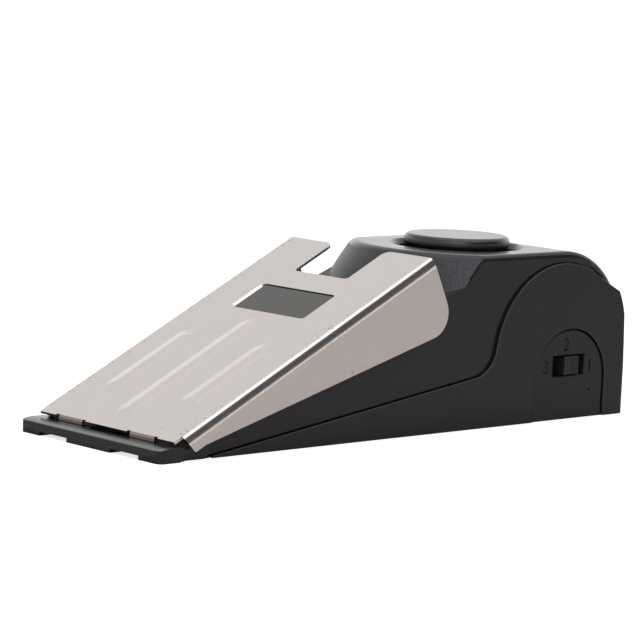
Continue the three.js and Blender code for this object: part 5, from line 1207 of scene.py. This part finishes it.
# Axis, where a bright zone of the studio begins, where it is full, and its strength there
BRIGHT_ZONES = (("Z", 0.84, 0.92, 1.7), ("Z", 0.5, 0.2, 1.35), ("Y", -0.1, -0.4, 2.0))
STUDIO_STRENGTH = 0.86
FLOOR_SIZE, FLOOR_DROP = 6, 0.02
FLOOR_GLOW, GLOW_IN_REFLECTIONS = 0.75, 0.05
# Name, setting with its power, place and size in metres
LAMPS = (
    ("overhead_softbox", "key_power", (-0.05, 0.1, 0.7), 0.9),
    ("left_softbox", "fill_power", (-0.6, -0.6, 0.35), 0.5),
)
LAMP_TARGET = (0, 0, 0.015)
# Fitted to the photograph: the camera's turn in degrees, its distance and its shift in millimetres
CAMERA_AZIMUTH, CAMERA_ELEVATION, CAMERA_ROLL = -43.4938, 7.1925, 2.7039
CAMERA_DISTANCE, CAMERA_SHIFT_X, CAMERA_SHIFT_Y = 678.652, -4.7671, 5.2462
CAMERA_TARGET_Z, CAMERA_LENS, CAMERA_SENSOR = 18, 168.75, 36


def ray_switch(tree):
    """Is 1 where the camera or a refraction looks, dim in reflections, and 0 for the light on the object."""
    path = tree.nodes.new("ShaderNodeLightPath")
    reflected = calculate(tree, "MULTIPLY", path.outputs["Is Glossy Ray"], GLOW_IN_REFLECTIONS)
    return chain(tree, "MAXIMUM", (
        path.outputs["Is Camera Ray"], reflected, path.outputs["Is Transmission Ray"]))


def background(tree, strength=1.0):
    node = tree.nodes.new("ShaderNodeBackground")
    node.inputs["Color"].default_value = WHITE
    node.inputs["Strength"].default_value = strength
    return node


class DOORSTOP_OT_stage(bpy.types.Operator):
    """Sets the floor, the soft lights, the world and the camera"""
    bl_idname = "door_stop.stage"
    bl_label = "Stage and camera"

    def execute(self, context):
        s = sizes("stage")
        scene = context.scene
        scene.view_settings.view_transform = "Standard"
        self.world(scene, s)
        self.floor(s)
        self.lights(s)
        self.camera(scene)
        return {"FINISHED"}

    def world(self, scene, s):
        """Even light for the object, white for the camera, and a studio with a dark front in reflections."""
        world = bpy.data.worlds.new("studio")
        scene.world = world
        world.use_nodes = True
        tree = world.node_tree
        tree.nodes.clear()
        even = background(tree, s.even_light)
        seen = background(tree)
        mirrored = background(tree)
        place = tree.nodes.new("ShaderNodeTexCoord")
        parts = tree.nodes.new("ShaderNodeSeparateXYZ")
        wire(tree, place.outputs["Generated"], parts.inputs["Vector"])
        dark = chain(tree, "MULTIPLY", [
            ramp(tree, parts.outputs[axis], clear, full) for axis, clear, full in DARK_FRONT])
        wire(tree, blend(tree, dark, WHITE, DARK_STUDIO), mirrored.inputs["Color"])
        strength = chain(tree, "MAXIMUM", [
            ramp(tree, parts.outputs[axis], start, full, STUDIO_STRENGTH, most)
            for axis, start, full, most in BRIGHT_ZONES])
        wire(tree, strength, mirrored.inputs["Strength"])
        path = tree.nodes.new("ShaderNodeLightPath")
        out = tree.nodes.new("ShaderNodeOutputWorld")
        last = even.outputs["Background"]
        for label, look in (
            ("Is Glossy Ray", mirrored), ("Is Transmission Ray", seen), ("Is Camera Ray", seen),
        ):
            mix = tree.nodes.new("ShaderNodeMixShader")
            wire(tree, path.outputs[label], mix.inputs["Fac"])
            wire(tree, last, mix.inputs[1])
            wire(tree, look.outputs["Background"], mix.inputs[2])
            last = mix.outputs["Shader"]
        wire(tree, last, out.inputs["Surface"])

    def floor(self, s):
        """A pale floor that shows the object's shadow and is seen through from below."""
        deselect()
        bpy.ops.mesh.primitive_plane_add(size=FLOOR_SIZE, location=(0, 0, -FLOOR_DROP * MM))
        floor = named("studio_floor")
        paper = bpy.data.materials.new("floor_paper")
        paper.use_nodes = True
        tree = paper.node_tree
        shader = tree.nodes["Principled BSDF"]
        shader.inputs["Base Color"].default_value = (*s.backdrop, 1)
        shader.inputs["Roughness"].default_value = 0.9
        shader.inputs["Specular IOR Level"].default_value = 0.0
        shader.inputs["Emission Color"].default_value = WHITE
        glow = calculate(tree, "MULTIPLY", ray_switch(tree), FLOOR_GLOW)
        wire(tree, glow, shader.inputs["Emission Strength"])
        side = tree.nodes.new("ShaderNodeNewGeometry")
        above = calculate(tree, "SUBTRACT", 1.0, side.outputs["Backfacing"])
        wire(tree, above, shader.inputs["Alpha"])
        floor.data.materials.append(paper)

    def lights(self, s):
        for name, power, place, size in LAMPS:
            deselect()
            bpy.ops.object.light_add(type="AREA", location=place)
            lamp = bpy.context.object
            lamp.name = name
            lamp.data.energy = getattr(s, power)
            lamp.data.size = size
            aim = Vector(LAMP_TARGET) - Vector(place)
            lamp.rotation_euler = aim.to_track_quat("-Z", "Y").to_euler()
            lamp.visible_glossy = False

    def camera(self, scene):
        """The photograph's view: azimuth, elevation, roll, distance and the shift of its middle."""
        azimuth, elevation, roll = (
            math.radians(degrees) for degrees in (CAMERA_AZIMUTH, CAMERA_ELEVATION, CAMERA_ROLL))
        back = Vector((
            math.sin(azimuth) * math.cos(elevation), -math.cos(azimuth) * math.cos(elevation),
            math.sin(elevation),
        ))
        right = Vector((math.cos(azimuth), math.sin(azimuth), 0))
        up = back.cross(right)
        level = right * math.cos(roll) + up * math.sin(roll)
        upright = -right * math.sin(roll) + up * math.cos(roll)
        bpy.ops.object.camera_add()
        camera = bpy.context.object
        camera.name = "camera"
        camera.data.lens = CAMERA_LENS
        camera.data.sensor_width = CAMERA_SENSOR
        camera.data.clip_start = 0.01
        middle = Vector((0, 0, CAMERA_TARGET_Z * MM)) + back * CAMERA_DISTANCE * MM
        middle += level * CAMERA_SHIFT_X * MM + upright * CAMERA_SHIFT_Y * MM
        camera.matrix_world = Matrix((
            (level.x, upright.x, back.x, middle.x), (level.y, upright.y, back.y, middle.y),
            (level.z, upright.z, back.z, middle.z), (0, 0, 0, 1),
        ))
        scene.camera = camera


# Panel and running

OPERATORS = (
    DOORSTOP_OT_stage, DOORSTOP_OT_press_plate, DOORSTOP_OT_upper_shell, DOORSTOP_OT_lower_shell,
    DOORSTOP_OT_siren, DOORSTOP_OT_switches, DOORSTOP_OT_underside, DOORSTOP_OT_return_spring,
    DOORSTOP_OT_parts_inside,
)


class DOORSTOP_PT_steps(bpy.types.Panel):
    bl_idname = "DOORSTOP_PT_steps"
    bl_label = "Door stop alarm"
    bl_space_type = "VIEW_3D"
    bl_region_type = "UI"
    bl_category = "Door stop"

    def draw(self, context):
        for operator in OPERATORS:
            self.layout.operator(operator.bl_idname)
        for part in ("plate", "shell", "switch", "siren", "stage"):
            group = getattr(context.scene.door_stop, part)
            box = self.layout.box()
            box.label(text=part.title())
            for name in group.__annotations__:
                box.prop(group, name)


GROUPS = (PlateSettings, ShellSettings, SwitchSettings, SirenSettings, StageSettings, DoorStopSettings)


def register():
    for kind in (*GROUPS, *OPERATORS, DOORSTOP_PT_steps):
        bpy.utils.register_class(kind)
    bpy.types.Scene.door_stop = PointerProperty(type=DoorStopSettings)


def unregister():
    del bpy.types.Scene.door_stop
    for kind in reversed((*GROUPS, *OPERATORS, DOORSTOP_PT_steps)):
        bpy.utils.unregister_class(kind)


def main():
    register()
    make_materials()
    for operator in OPERATORS:
        group, name = operator.bl_idname.split(".")
        getattr(getattr(bpy.ops, group), name)()


if __name__ == "__main__":
    main()
